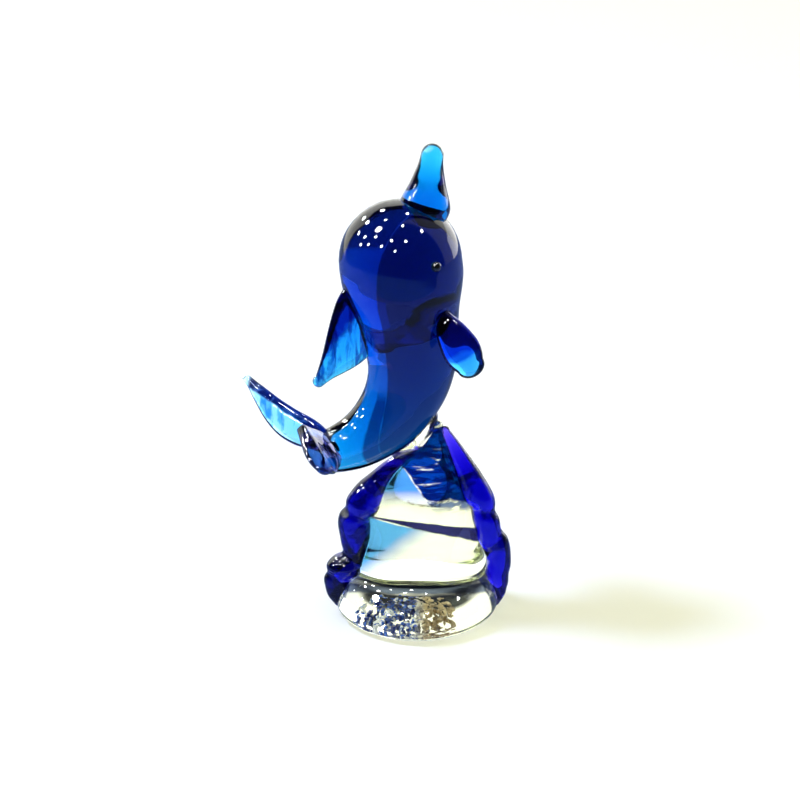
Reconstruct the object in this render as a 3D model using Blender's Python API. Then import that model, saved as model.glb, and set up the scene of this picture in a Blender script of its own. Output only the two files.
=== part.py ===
"""A lampworked glass dolphin on a clear glass rock with two wavy blue trails.

Units are metres and +Z is up. The origin is the centre of the flat foot. +X points to the dolphin's
belly side and -Y to the side that shows its right flipper. Every gather of glass is its own solid: a
piece that was stuck on hot has a root that sinks into a pocket in the piece that carries it.
"""

import math

import bmesh
import bpy
from mathutils import Matrix, Vector

MM = 0.001

# ---------------------------------------------------------------- fit and fineness
WELD_GAP = 0.3 * MM  # between a root and its pocket, all round
CAP_STEPS = 4
ROCK_SIDES = 32
TRAIL_SIDES = 12
BODY_SIDES = 28
FIN_SIDES = 18
BEAD_SIDES = 14

# ---------------------------------------------------------------- clear rock
ROCK_HEIGHT = 51.0 * MM
FOOT_RADIUS = 20.2 * MM  # the widest part of the round foot
FOOT_THICKNESS = 7.5 * MM
FOOT_ROUNDING = 1.4 * MM
FOOT_INSET = 2.8 * MM  # from the widest part to the ground flat's edge
FLARE_RISE = 4.5 * MM  # above the foot's thickness, where it has swept up into the faces
FLARE_SIDE_INSET = 3.2 * MM
FLARE_FACE_INSET = 6.8 * MM  # of the hollowed front
FLARE_BACK_INSET = 3.4 * MM
MIDDLE_HALF_WIDTH = 13.6 * MM  # from trail to trail
MIDDLE_HALF_DEPTH = 9.6 * MM
MIDDLE_OFFSET = 1.4 * MM  # the rock leans to the dolphin's belly side
MIDDLE_SHARE = 0.5  # of the rock's height
SHOULDER_HALF_WIDTH = 9.3 * MM
SHOULDER_HALF_DEPTH = 6.6 * MM
SHOULDER_OFFSET = 1.4 * MM
SHOULDER_SHARE = 0.74
PEAK_RADIUS = 2.2 * MM
PEAK_OFFSET = 4.3 * MM
FACE_STEPS = 12

# ---------------------------------------------------------------- blue trails
TRAIL_RADIUS = 3.7 * MM
TRAIL_DEPTH_SHARE = 0.86  # of its half width, from front to back
TRAIL_CAP = 0.8 * MM
TRAIL_FORWARD = 2.8 * MM  # towards the front face
TRAIL_FORWARD_SHARE = 0.3  # of the rock's depth, at most
TRAIL_GAP = 1.4 * WELD_GAP  # its rings lie level, so a leaning stretch of it needs more
# each line is one fold: its share of the rock's height, and, in shares of the trail's radius, how far the
# trail's centre stands out from the rock's side and its half width
TRAIL_FOLDS = {
    "left": (
        (0.875, -0.7, 0.42), (0.81, -0.4, 0.74), (0.737, -0.03, 0.87), (0.686, 0.27, 1.05), (0.633, 0.45, 1.18),
        (0.58, 0.54, 1.26), (0.539, 0.65, 1.24), (0.508, 0.74, 1.14), (0.475, 0.62, 1.14), (0.422, 0.35, 1.1),
        (0.369, 0.18, 1.0), (0.331, 0.15, 0.96), (0.3, 0.36, 1.14), (0.263, 0.46, 1.28), (0.22, 0.38, 1.22),
        (0.192, 0.3, 1.08), (0.155, -0.05, 1.0), (0.1, -0.35, 0.84), (0.06, -0.46, 0.54),
    ),
    "right": (
        (0.953, 0.08, 0.27), (0.894, 0.22, 0.46), (0.816, 0.35, 0.68), (0.737, 0.49, 0.86), (0.633, 0.54, 1.05),
        (0.555, 0.54, 0.92), (0.475, 0.57, 0.92), (0.406, 0.73, 1.0), (0.343, 0.84, 0.95), (0.263, 0.76, 0.84),
        (0.18, 0.24, 0.73), (0.1, -0.16, 0.51), (0.063, -0.27, 0.35),
    ),
}
TRAIL_STEPS = 44

# ---------------------------------------------------------------- dolphin's body
DOLPHIN_TURN = math.radians(18)  # the belly turns away from the -Y side
HEAD_RADIUS = 14.5 * MM
CHEST_RADIUS = 12.4 * MM
WAIST_RADIUS = 10.4 * MM
LOIN_RADIUS = 8.8 * MM
TAIL_RADIUS = 5.7 * MM
TAIL_HALF_THICKNESS = 4.6 * MM  # across the body, where the tail is pressed flat
BACK_LENGTH = 21.6 * MM  # head centre to the start of the bend
BACK_LEAN = math.radians(7.2)
BEND_RADIUS = 22.0 * MM
BEND_END = math.radians(84)  # the tail ends nearly level
TAIL_CAP = 2.4 * MM
SEAT_ANGLE = math.radians(42)  # the place on the bend that rests on the rock
SEAT_DROP = 3.8 * MM  # the seat lies below the rock's peak
SEAT_OFFSET = -0.5 * MM  # and this far to the belly side of the foot's centre
BACK_STEPS = 7
BEND_STEPS = 14

# ---------------------------------------------------------------- beak and eyes
BEAK_LENGTH = 12.0 * MM  # from the head's skin to the centre of the round tip
BEAK_ROOT_RADIUS = 5.9 * MM
BEAK_MIDDLE_RADIUS = 4.2 * MM
BEAK_TIP_RADIUS = 2.6 * MM
BEAK_OFFSET = 6.1 * MM  # towards the belly side of the head
BEAK_LEAN = math.radians(8)
BEAK_ROOT_DEPTH = 6.0 * MM
BEAK_STEPS = 12
EYE_RADIUS = 1.75 * MM
EYE_HALF_THICKNESS = 1.3 * MM
EYE_SINK = 0.5 * MM
PUPIL_RADIUS = 1.15 * MM
PUPIL_HALF_THICKNESS = 0.8 * MM
PUPIL_RISE = 0.4 * MM
EYE_BEARING = math.radians(72.5)  # from the belly round to the side
EYE_HEIGHT = 2.4 * MM  # above the head's centre

# ---------------------------------------------------------------- back fin and flippers
FIN_ROOT_DEPTH = 2.2 * MM
FIN_ROOT_CAP = 0.6 * MM
DORSAL_HALF_CHORD = 8.6 * MM
DORSAL_HALF_THICKNESS = 2.7 * MM
DORSAL_TIP_RADIUS = 1.5 * MM
DORSAL_SPAN = 17.2 * MM
DORSAL_SWEEP = math.radians(56)  # from straight out, down towards the tail
DORSAL_PITCH = math.radians(24)  # the root's lean along the back
DORSAL_PLACE = 13.8 * MM  # below the head's centre, along the back
FLIPPER_HALF_CHORD = 4.5 * MM
FLIPPER_HALF_THICKNESS = 2.1 * MM
FLIPPER_TIP = 2.8 * MM
FLIPPER_SPAN = 11.8 * MM
FLIPPER_BEARING = math.radians(63)  # from the belly round to the side
FLIPPER_PLACE = 12.4 * MM
FLIPPER_AIM = (0.36, 0.52, -0.78)  # towards belly, side and tail
FLIPPER_CHORD = (0.88, 0.09, 0.47)

# ---------------------------------------------------------------- tail flukes
FLUKE_RISE = math.radians(33)  # the flukes curl up behind the tail
FLUKE_DROOP = math.radians(12)  # the right fluke hangs below level
FLUKE_TIP_RADIUS = 0.95 * MM
RIGHT_FLUKE_HALF_CHORD = 6.0 * MM
RIGHT_FLUKE_HALF_THICKNESS = 2.3 * MM
RIGHT_FLUKE_SPAN = 14.6 * MM
RIGHT_FLUKE_SWEEP = 4.0 * MM
RIGHT_FLUKE_BACKSET = 4.3 * MM  # from the tail's end to the middle of the root
LEFT_FLUKE_HALF_CHORD = 3.9 * MM
LEFT_FLUKE_HALF_THICKNESS = 1.9 * MM
LEFT_FLUKE_SPAN = 25.6 * MM
LEFT_FLUKE_SWEEP = 1.6 * MM
LEFT_FLUKE_AIM = (-0.574, 0.644, 0.504)  # away from the belly, to the left and up
LEFT_FLUKE_CHORD = (-0.45, -0.28, -0.85)
LEFT_FLUKE_ROOT = Vector((-1.6, 1.6, 0.6)) * MM  # from the tail's end
DROP_RADIUS = 0.95 * MM  # the clear drop on the long fluke's tip

# ---------------------------------------------------------------- clear weld under the dolphin
WELD_HALF_LENGTH = 7.8 * MM
WELD_HALF_WIDTH = 4.4 * MM
WELD_HALF_HEIGHT = 3.2 * MM

# ---------------------------------------------------------------- looks: colour, roughness, transmission
CLEAR = ((0.96, 0.98, 0.98), 0.02, 1.0)
COBALT = ((0.03, 0.02, 0.62), 0.03, 1.0)
DEEP_BLUE = ((0.01, 0.04, 0.45), 0.03, 1.0)
AZURE = ((0.02, 0.42, 0.95), 0.03, 1.0)
SMOKE = ((0.42, 0.44, 0.72), 0.03, 1.0)
WHITE = ((0.78, 0.8, 0.78), 0.05, 0.0)
BLACK = ((0.01, 0.01, 0.01), 0.05, 0.0)


def glass(name, look):
    """A glass material."""
    colour, roughness, transmission = look
    material = bpy.data.materials.new(name)
    material.use_nodes = True
    shader = material.node_tree.nodes["Principled BSDF"]
    shader.inputs["Base Color"].default_value = (*colour, 1.0)
    shader.inputs["Roughness"].default_value = roughness
    shader.inputs["Metallic"].default_value = 0.0
    shader.inputs["Transmission Weight"].default_value = transmission
    shader.inputs["IOR"].default_value = 1.5
    return material


# ================================================================ curves
def slope(first, last):
    """The mean slope between two knots."""
    return (last[1] - first[1]) / (last[0] - first[0])


def smooth_through(knots, at):
    """The value at a place along (place, value) knots, on a smooth curve."""
    index = 0
    while index < len(knots) - 2 and at > knots[index + 1][0]:
        index += 1
    low, high = knots[index], knots[index + 1]
    before, after = knots[max(index - 1, 0)], knots[min(index + 2, len(knots) - 1)]
    length = high[0] - low[0]
    share = (at - low[0]) / length
    square, cube = share**2, share**3
    return (
        low[1] * (2 * cube - 3 * square + 1)
        + slope(before, high) * length * (cube - 2 * square + share)
        + high[1] * (3 * square - 2 * cube)
        + slope(low, after) * length * (cube - square)
    )


# ================================================================ lofted solids
class Station:
    """One elliptical section of a gather: its centre, its two directions and its two radii."""

    def __init__(self, centre, wide, thin, wide_radius, thin_radius):
        self.centre = Vector(centre)
        self.wide = Vector(wide).normalized()
        self.thin = Vector(thin).normalized()
        self.wide_radius = wide_radius
        self.thin_radius = thin_radius

    def matrix(self, grow=0.0, share=1.0, ahead=0.0):
        """Carries a unit circle to this section, grown, then shrunk to a share and moved ahead."""
        along = self.wide.cross(self.thin).normalized()
        wide = self.wide * (self.wide_radius + grow) * share
        thin = self.thin * (self.thin_radius + grow) * share
        place = self.centre + along * ahead
        rows = [[column[axis] for column in (wide, thin, along, place)] for axis in range(3)]
        return Matrix((*rows, (0.0, 0.0, 0.0, 1.0)))


def cap_angles():
    """The angles of a round cap's rings, between its pole and its rim."""
    return [math.radians(90) * step / CAP_STEPS for step in range(1, CAP_STEPS)]


def ring_matrices(stations, caps, grow):
    """The matrices of every ring of a loft: a round cap, the stations, and another round cap."""
    first, last = stations[0], stations[-1]
    low, high = caps[0] + grow, caps[1] + grow
    rings = [first.matrix(grow, math.sin(angle), -low * math.cos(angle)) for angle in cap_angles()]
    rings += [station.matrix(grow) for station in stations]
    rings += [last.matrix(grow, math.cos(angle), high * math.sin(angle)) for angle in cap_angles()]
    return rings


def loft_mesh(name, matrices, sides):
    """A closed skin through rings: one circle, extruded from matrix to matrix."""
    bm = bmesh.new()
    first = bmesh.ops.create_circle(bm, cap_ends=True, segments=sides, radius=1.0, matrix=matrices[0])
    edges = list({edge for vert in first["verts"] for edge in vert.link_edges})
    for before, after in zip(matrices, matrices[1:]):
        made = bmesh.ops.extrude_edge_only(bm, edges=edges)["geom"]
        ring = [item for item in made if isinstance(item, bmesh.types.BMVert)]
        made_edges = [item for item in made if isinstance(item, bmesh.types.BMEdge)]
        edges = [edge for edge in made_edges if all(vert in ring for vert in edge.verts)]
        bmesh.ops.transform(bm, matrix=after @ before.inverted(), verts=ring)
    bmesh.ops.contextual_create(bm, geom=edges)
    bmesh.ops.recalc_face_normals(bm, faces=bm.faces[:])
    mesh = bpy.data.meshes.new(name)
    bm.to_mesh(mesh)
    bm.free()
    mesh.shade_smooth()
    return mesh


def add_object(name, mesh, material, parent):
    """Links a mesh into the scene as one object."""
    mesh.materials.append(material)
    obj = bpy.data.objects.new(name, mesh)
    bpy.context.scene.collection.objects.link(obj)
    obj.parent = parent
    return obj


def gather(name, stations, caps, sides, look, parent=None, gap=WELD_GAP):
    """A lofted gather of glass, and the slightly larger cutter that makes its pocket."""
    material = glass(name + "_glass", look)
    piece = add_object(name, loft_mesh(name, ring_matrices(stations, caps, 0.0), sides), material, parent)
    pocket_name = name + "_pocket"
    grown = loft_mesh(pocket_name, ring_matrices(stations, caps, gap), sides)
    pocket = add_object(pocket_name, grown, material, parent)
    pocket.hide_render = True
    pocket.display_type = "WIRE"
    return piece, pocket


def cut(host, pocket):
    """Cuts a pocket for a neighbour out of a piece."""
    modifier = host.modifiers.new(pocket.name, "BOOLEAN")
    modifier.operation = "DIFFERENCE"
    modifier.solver = "EXACT"
    modifier.object = pocket


# ================================================================ clear rock
def rock_profile(height):
    """The rock's half width, front depth and lean at a height."""
    flare = FOOT_THICKNESS + FLARE_RISE
    middle = MIDDLE_SHARE * ROCK_HEIGHT
    shoulder = SHOULDER_SHARE * ROCK_HEIGHT
    peak = ROCK_HEIGHT - PEAK_RADIUS
    foot = [
        (0.0, FOOT_RADIUS - FOOT_INSET),
        (FOOT_ROUNDING, FOOT_RADIUS - 0.32 * FOOT_INSET),
        (0.5 * FOOT_THICKNESS, FOOT_RADIUS),
    ]
    widths = foot + [
        (FOOT_THICKNESS, FOOT_RADIUS - 0.19 * FLARE_SIDE_INSET),
        (flare, FOOT_RADIUS - FLARE_SIDE_INSET),
        (middle, MIDDLE_HALF_WIDTH),
        (shoulder, SHOULDER_HALF_WIDTH),
        (peak, PEAK_RADIUS),
    ]
    depths = foot + [
        (FOOT_THICKNESS, FOOT_RADIUS - 0.28 * FLARE_FACE_INSET),
        (flare, FOOT_RADIUS - FLARE_FACE_INSET),
        (middle, MIDDLE_HALF_DEPTH),
        (shoulder, SHOULDER_HALF_DEPTH),
        (peak, PEAK_RADIUS),
    ]
    leans = [(0.0, 0.0), (middle, MIDDLE_OFFSET), (shoulder, SHOULDER_OFFSET), (peak, PEAK_OFFSET)]
    return tuple(smooth_through(knots, height) for knots in (widths, depths, leans))


def rock_back(height):
    """How far the rock reaches back at a height: its back sweeps down to the foot without a hollow."""
    knots = [
        (0.0, FOOT_RADIUS - FOOT_INSET),
        (FOOT_ROUNDING, FOOT_RADIUS - 0.32 * FOOT_INSET),
        (0.5 * FOOT_THICKNESS, FOOT_RADIUS),
        (FOOT_THICKNESS, FOOT_RADIUS - 0.28 * FLARE_BACK_INSET),
        (FOOT_THICKNESS + FLARE_RISE, FOOT_RADIUS - FLARE_BACK_INSET),
        (MIDDLE_SHARE * ROCK_HEIGHT, MIDDLE_HALF_DEPTH),
        (SHOULDER_SHARE * ROCK_HEIGHT, SHOULDER_HALF_DEPTH),
        (ROCK_HEIGHT - PEAK_RADIUS, PEAK_RADIUS),
    ]
    return smooth_through(knots, height)


def rock_ring(height, share=1.0, ahead=0.0):
    """The matrix of the rock's ring at a height."""
    width, front, lean = rock_profile(height)
    back = rock_back(height)
    centre = (lean, (back - front) / 2, height)
    return Station(centre, (1, 0, 0), (0, 1, 0), width, (front + back) / 2).matrix(0.0, share, ahead)


def make_rock():
    """The clear rock: rings from the ground flat up to the round peak."""
    top = ROCK_HEIGHT - PEAK_RADIUS
    heights = [0.0, 0.4 * FOOT_ROUNDING, FOOT_ROUNDING, 0.5 * FOOT_THICKNESS, FOOT_THICKNESS]
    face_height = top - FOOT_THICKNESS
    heights += [FOOT_THICKNESS + face_height * step / FACE_STEPS for step in range(1, FACE_STEPS + 1)]
    matrices = [rock_ring(height) for height in heights]
    matrices += [rock_ring(top, math.cos(angle), PEAK_RADIUS * math.sin(angle)) for angle in cap_angles()]
    return add_object("rock", loft_mesh("rock", matrices, ROCK_SIDES), glass("rock_glass", CLEAR), None)


# ================================================================ blue trails
def make_trail(side):
    """One folded trail, from under the dolphin down to the foot: level rings along the rock's silhouette."""
    sign = -1.0 if side == "left" else 1.0
    folds = TRAIL_FOLDS[side]
    rises = [(-share * ROCK_HEIGHT, rise * TRAIL_RADIUS) for share, rise, _ in folds]
    halves = [(-share * ROCK_HEIGHT, half * TRAIL_RADIUS) for share, _, half in folds]
    top, bottom = folds[0][0] * ROCK_HEIGHT, folds[-1][0] * ROCK_HEIGHT
    stations = []
    for index in range(TRAIL_STEPS + 1):
        height = top + (bottom - top) * index / TRAIL_STEPS
        width, depth, lean = rock_profile(height)
        forward = min(TRAIL_FORWARD, TRAIL_FORWARD_SHARE * depth)
        centre = Vector((lean + sign * (width + smooth_through(rises, -height)), -forward, height))
        half = smooth_through(halves, -height)
        stations.append(Station(centre, (1, 0, 0), (0, -1, 0), half, half * TRAIL_DEPTH_SHARE))
    return gather("trail_" + side, stations, (TRAIL_CAP, TRAIL_CAP), TRAIL_SIDES, COBALT, gap=TRAIL_GAP)


# ================================================================ dolphin's body
def back_point(distance):
    """The body's centreline on the straight back, measured down from the head's centre."""
    return Vector((math.sin(BACK_LEAN), 0.0, -math.cos(BACK_LEAN))) * distance


def bend_point(angle):
    """The body's centreline on the bend, whose angle runs from straight down to level."""
    across = math.cos(angle) - math.cos(BACK_LEAN)
    down = math.sin(angle) + math.sin(BACK_LEAN)
    return back_point(BACK_LENGTH) + Vector((across, 0.0, -down)) * BEND_RADIUS


def bend_distance(angle):
    """How far a place on the bend is from the head's centre, along the body."""
    return BACK_LENGTH + BEND_RADIUS * (angle + BACK_LEAN)


def body_radius(distance):
    """The body's radius at a distance from the head's centre."""
    knots = [
        (0.0, HEAD_RADIUS),
        (0.09, 0.985 * HEAD_RADIUS),
        (0.24, CHEST_RADIUS),
        (0.5, WAIST_RADIUS),
        (0.69, LOIN_RADIUS),
        (1.0, TAIL_RADIUS),
    ]
    return smooth_through(knots, distance / bend_distance(BEND_END))


def make_body(frame):
    """The head, trunk and tail: one gather, round at the head and pressed flat at the tail."""
    places = []
    for index in range(BACK_STEPS):
        distance = BACK_LENGTH * index / BACK_STEPS
        places.append((distance, back_point(distance), -BACK_LEAN))
    for index in range(BEND_STEPS + 1):
        angle = -BACK_LEAN + (BEND_END + BACK_LEAN) * index / BEND_STEPS
        places.append((bend_distance(angle), bend_point(angle), angle))
    flat = TAIL_HALF_THICKNESS / TAIL_RADIUS
    across = Vector((0.0, 1.0, 0.0))
    stations = []
    for distance, centre, angle in places:
        radius = body_radius(distance)
        pressed = 1.0 - (1.0 - flat) * (distance / bend_distance(BEND_END)) ** 3
        ahead = Vector((-math.sin(angle), 0.0, -math.cos(angle)))
        stations.append(Station(centre, across.cross(ahead), across, radius, radius * pressed))
    return gather("dolphin_body", stations, (HEAD_RADIUS, TAIL_CAP), BODY_SIDES, DEEP_BLUE, frame)


def seat_outward():
    """From the body's centreline to the skin that rests on the rock."""
    return Vector((math.cos(SEAT_ANGLE), 0.0, -math.sin(SEAT_ANGLE)))


def seat_point():
    """The point of the body's skin that rests on the rock, from the head's centre."""
    return bend_point(SEAT_ANGLE) + seat_outward() * body_radius(bend_distance(SEAT_ANGLE))


def dolphin_frame():
    """The empty that carries the dolphin: at its head's centre, with +X towards the belly."""
    frame = bpy.data.objects.new("dolphin_frame", None)
    bpy.context.scene.collection.objects.link(frame)
    place = Vector((SEAT_OFFSET, 0.0, ROCK_HEIGHT - SEAT_DROP))
    turn = Matrix.Rotation(DOLPHIN_TURN, 4, "Z")
    frame.matrix_world = turn @ Matrix.Translation(place - seat_point())
    return frame


def make_weld(frame):
    """The clear weld between the dolphin's bend and the rock."""
    station = Station(seat_point(), seat_outward(), (0, 1, 0), WELD_HALF_HEIGHT, WELD_HALF_WIDTH)
    return gather("weld", [station], (WELD_HALF_LENGTH, WELD_HALF_LENGTH), FIN_SIDES, CLEAR, frame)


# ================================================================ beak and eyes
def make_beak(frame):
    """The beak: a tapered gather on the belly side of the crown, with its root in the head."""
    way = Vector((math.sin(BEAK_LEAN), 0.0, math.cos(BEAK_LEAN)))
    foot = Vector((BEAK_OFFSET, 0.0, math.sqrt(HEAD_RADIUS**2 - BEAK_OFFSET**2)))
    knots = [
        (-BEAK_ROOT_DEPTH, 0.6 * BEAK_ROOT_RADIUS),
        (-0.45 * BEAK_ROOT_DEPTH, 0.93 * BEAK_ROOT_RADIUS),
        (0.0, BEAK_ROOT_RADIUS),
        (0.42 * BEAK_LENGTH, BEAK_MIDDLE_RADIUS),
        (0.8 * BEAK_LENGTH, 1.12 * BEAK_TIP_RADIUS),
        (BEAK_LENGTH, BEAK_TIP_RADIUS),
    ]
    across = Vector((0.0, 1.0, 0.0))
    stations = []
    for index in range(BEAK_STEPS + 1):
        place = -BEAK_ROOT_DEPTH + (BEAK_LENGTH + BEAK_ROOT_DEPTH) * index / BEAK_STEPS
        radius = smooth_through(knots, place)
        stations.append(Station(foot + way * place, across.cross(way), across, radius, radius))
    return gather("beak", stations, (1.0 * MM, BEAK_TIP_RADIUS), FIN_SIDES, AZURE, frame)


def bead(name, centre, normal, radius, half_thickness, look, frame):
    """A flattened bead."""
    wide = normal.orthogonal()
    station = Station(centre, wide, normal.cross(wide), radius, radius)
    return gather(name, [station], (half_thickness, half_thickness), BEAD_SIDES, look, frame)


def make_eye(side, sign, frame):
    """One eye: a pale bead in the head, with a black bead in it. It returns the pale bead."""
    level = math.sqrt(HEAD_RADIUS**2 - EYE_HEIGHT**2)
    skin = Vector((level * math.cos(EYE_BEARING), sign * level * math.sin(EYE_BEARING), EYE_HEIGHT))
    normal = skin.normalized()
    eye = bead("eye_" + side, skin - normal * EYE_SINK, normal, EYE_RADIUS, EYE_HALF_THICKNESS, WHITE, frame)
    centre = skin + normal * (PUPIL_RISE - EYE_SINK)
    _, pocket = bead("pupil_" + side, centre, normal, PUPIL_RADIUS, PUPIL_HALF_THICKNESS, BLACK, frame)
    cut(eye[0], pocket)
    return eye


# ================================================================ fins
def blade(name, root, aim, chord, shape, sizes, tip_cap, look, frame):
    """A flat fin. Each line of its shape is a share of the span, the sweep, the chord and the thickness."""
    span, sweep, half_chord, half_thickness = sizes
    aim = Vector(aim).normalized()
    chord = Vector(chord).normalized()
    thin = aim.cross(chord)
    stations = []
    for place, swept, width, thickness in shape:
        centre = root + aim * span * place + chord * sweep * swept
        stations.append(Station(centre, chord, thin, half_chord * width, half_thickness * thickness))
    return gather(name, stations, (FIN_ROOT_CAP, tip_cap), FIN_SIDES, look, frame)


def make_dorsal_fin(frame):
    """The back fin: a swept triangle whose root sinks into the back."""
    root = back_point(DORSAL_PLACE) - Vector((body_radius(DORSAL_PLACE), 0.0, 0.0))
    aim = (-math.cos(DORSAL_SWEEP), 0.0, -math.sin(DORSAL_SWEEP))
    chord = (math.sin(DORSAL_PITCH), 0.0, -math.cos(DORSAL_PITCH))
    root_share = FIN_ROOT_DEPTH / DORSAL_SPAN
    shape = [
        (-root_share, -0.7, 0.8, 0.8),
        (0.0, 0.0, 1.0, 1.0),
        (0.17, 0.0, 0.97, 0.97),
        (0.36, 0.0, 0.82, 0.9),
        (0.56, 0.0, 0.61, 0.8),
        (0.76, 0.0, 0.38, 0.72),
        (0.91, 0.0, 0.24, 0.64),
        (1.0, 0.0, DORSAL_TIP_RADIUS / DORSAL_HALF_CHORD, DORSAL_TIP_RADIUS / DORSAL_HALF_THICKNESS),
    ]
    sizes = (DORSAL_SPAN, FIN_ROOT_DEPTH, DORSAL_HALF_CHORD, DORSAL_HALF_THICKNESS)
    return blade("dorsal_fin", root, aim, chord, shape, sizes, DORSAL_TIP_RADIUS, AZURE, frame)


def make_flipper(side, sign, frame):
    """A side flipper: a round paddle laid back along the chest."""
    outward = Vector((math.cos(FLIPPER_BEARING), sign * math.sin(FLIPPER_BEARING), 0.0))
    root = back_point(FLIPPER_PLACE) + body_radius(FLIPPER_PLACE) * outward
    aim = (FLIPPER_AIM[0], sign * FLIPPER_AIM[1], FLIPPER_AIM[2])
    chord = (FLIPPER_CHORD[0], sign * FLIPPER_CHORD[1], FLIPPER_CHORD[2])
    shape = [
        (-FIN_ROOT_DEPTH / FLIPPER_SPAN, 0.0, 0.42, 0.72),
        (0.0, 0.0, 0.58, 0.95),
        (0.2, 0.0, 0.79, 1.0),
        (0.42, 0.0, 0.93, 0.98),
        (0.64, 0.0, 1.0, 0.92),
        (0.84, 0.0, 0.93, 0.84),
        (1.0, 0.0, 0.76, 0.74),
    ]
    sizes = (FLIPPER_SPAN, 0.0, FLIPPER_HALF_CHORD, FLIPPER_HALF_THICKNESS)
    return blade("flipper_" + side, root, aim, chord, shape, sizes, FLIPPER_TIP, AZURE, frame)


def make_right_fluke(frame):
    """The broad right fluke, whose root crosses the end of the tail."""
    back_way = Vector((-math.cos(FLUKE_RISE), 0.0, math.sin(FLUKE_RISE)))
    aim = (0.0, -math.cos(FLUKE_DROOP), -math.sin(FLUKE_DROOP))
    root = bend_point(BEND_END) + back_way * RIGHT_FLUKE_BACKSET
    shape = [
        (-0.12, 0.0, 0.96, 0.9),
        (0.04, 0.0, 1.0, 1.0),
        (0.22, 0.12, 0.98, 0.98),
        (0.42, 0.32, 0.93, 0.88),
        (0.62, 0.58, 0.82, 0.76),
        (0.8, 0.82, 0.64, 0.64),
        (0.92, 0.95, 0.46, 0.52),
        (1.0, 1.0, 0.3, FLUKE_TIP_RADIUS / RIGHT_FLUKE_HALF_THICKNESS),
    ]
    sizes = (RIGHT_FLUKE_SPAN, RIGHT_FLUKE_SWEEP, RIGHT_FLUKE_HALF_CHORD, RIGHT_FLUKE_HALF_THICKNESS)
    return blade("fluke_right", root, aim, back_way, shape, sizes, FLUKE_TIP_RADIUS, SMOKE, frame)


def make_left_fluke(frame):
    """The long left fluke, twisted on edge and pulled out to a point."""
    aim = Vector(LEFT_FLUKE_AIM).normalized()
    chord = Vector(LEFT_FLUKE_CHORD)
    chord -= aim * chord.dot(aim)
    tip_chord = FLUKE_TIP_RADIUS / LEFT_FLUKE_HALF_CHORD
    tip_thickness = FLUKE_TIP_RADIUS / LEFT_FLUKE_HALF_THICKNESS
    shape = [
        (0.0, 0.0, 0.62, 0.9),
        (0.1, 0.0, 0.82, 1.0),
        (0.24, 0.5, 1.0, 1.0),
        (0.42, 1.0, 0.97, 0.92),
        (0.6, 1.0, 0.8, 0.82),
        (0.78, 0.6, 0.56, 0.7),
        (0.92, 0.2, 0.34, 0.58),
        (1.0, 0.0, tip_chord, tip_thickness),
    ]
    root = bend_point(BEND_END) + LEFT_FLUKE_ROOT
    sizes = (LEFT_FLUKE_SPAN, LEFT_FLUKE_SWEEP, LEFT_FLUKE_HALF_CHORD, LEFT_FLUKE_HALF_THICKNESS)
    return blade("fluke_left", root, aim, chord, shape, sizes, FLUKE_TIP_RADIUS, AZURE, frame)


def make_drop(frame):
    """The clear drop where the long fluke was pulled off."""
    way = Vector(LEFT_FLUKE_AIM).normalized()
    wide = way.orthogonal()
    thin = way.cross(wide)
    start = bend_point(BEND_END) + LEFT_FLUKE_ROOT + way * (LEFT_FLUKE_SPAN + 0.9 * FLUKE_TIP_RADIUS)
    root = Station(start, wide, thin, 0.8 * DROP_RADIUS, 0.8 * DROP_RADIUS)
    end = Station(start + way * DROP_RADIUS, wide, thin, DROP_RADIUS, DROP_RADIUS)
    return gather("fluke_drop", [root, end], (0.5 * DROP_RADIUS, DROP_RADIUS), BEAD_SIDES, CLEAR, frame)


# ================================================================ assembly
def make_dolphin(frame):
    """Every piece of the dolphin, with a pocket in its body for each root. It returns the body."""
    body = make_body(frame)
    right_fluke = make_right_fluke(frame)
    left_fluke = make_left_fluke(frame)
    drop = make_drop(frame)
    cut(left_fluke[0], right_fluke[1])
    cut(left_fluke[0], drop[1])
    guests = [make_beak(frame), make_dorsal_fin(frame), right_fluke, left_fluke]
    for side, sign in (("right", -1.0), ("left", 1.0)):
        guests += [make_eye(side, sign, frame), make_flipper(side, sign, frame)]
    for _, pocket in guests:
        cut(body[0], pocket)
    return body


def main():
    """Clears the scene, makes the dolphin, then the rock, the trails and the weld that carry it."""
    for obj in list(bpy.data.objects):
        bpy.data.objects.remove(obj)
    frame = dolphin_frame()
    _, body_pocket = make_dolphin(frame)
    rock = make_rock()
    weld, weld_pocket = make_weld(frame)
    for side in ("left", "right"):
        trail, trail_pocket = make_trail(side)
        cut(trail, body_pocket)
        cut(weld, trail_pocket)
        cut(rock, trail_pocket)
    cut(weld, body_pocket)
    cut(rock, weld_pocket)
    cut(rock, body_pocket)


main()
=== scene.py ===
"""The looks of a lampworked glass dolphin on a clear glass rock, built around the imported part.

Units are metres and +Z is up. Every gather of glass is lofted again with a smooth skin where the part
has it. Where two gathers are melted together, the one that carries the other is cut back to a hair's
gap and the faces that meet there bend no light, so that only the colour changes across the joint.
"""

import math
import random

import bmesh
import bpy
from mathutils import Matrix, Vector, noise


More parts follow.
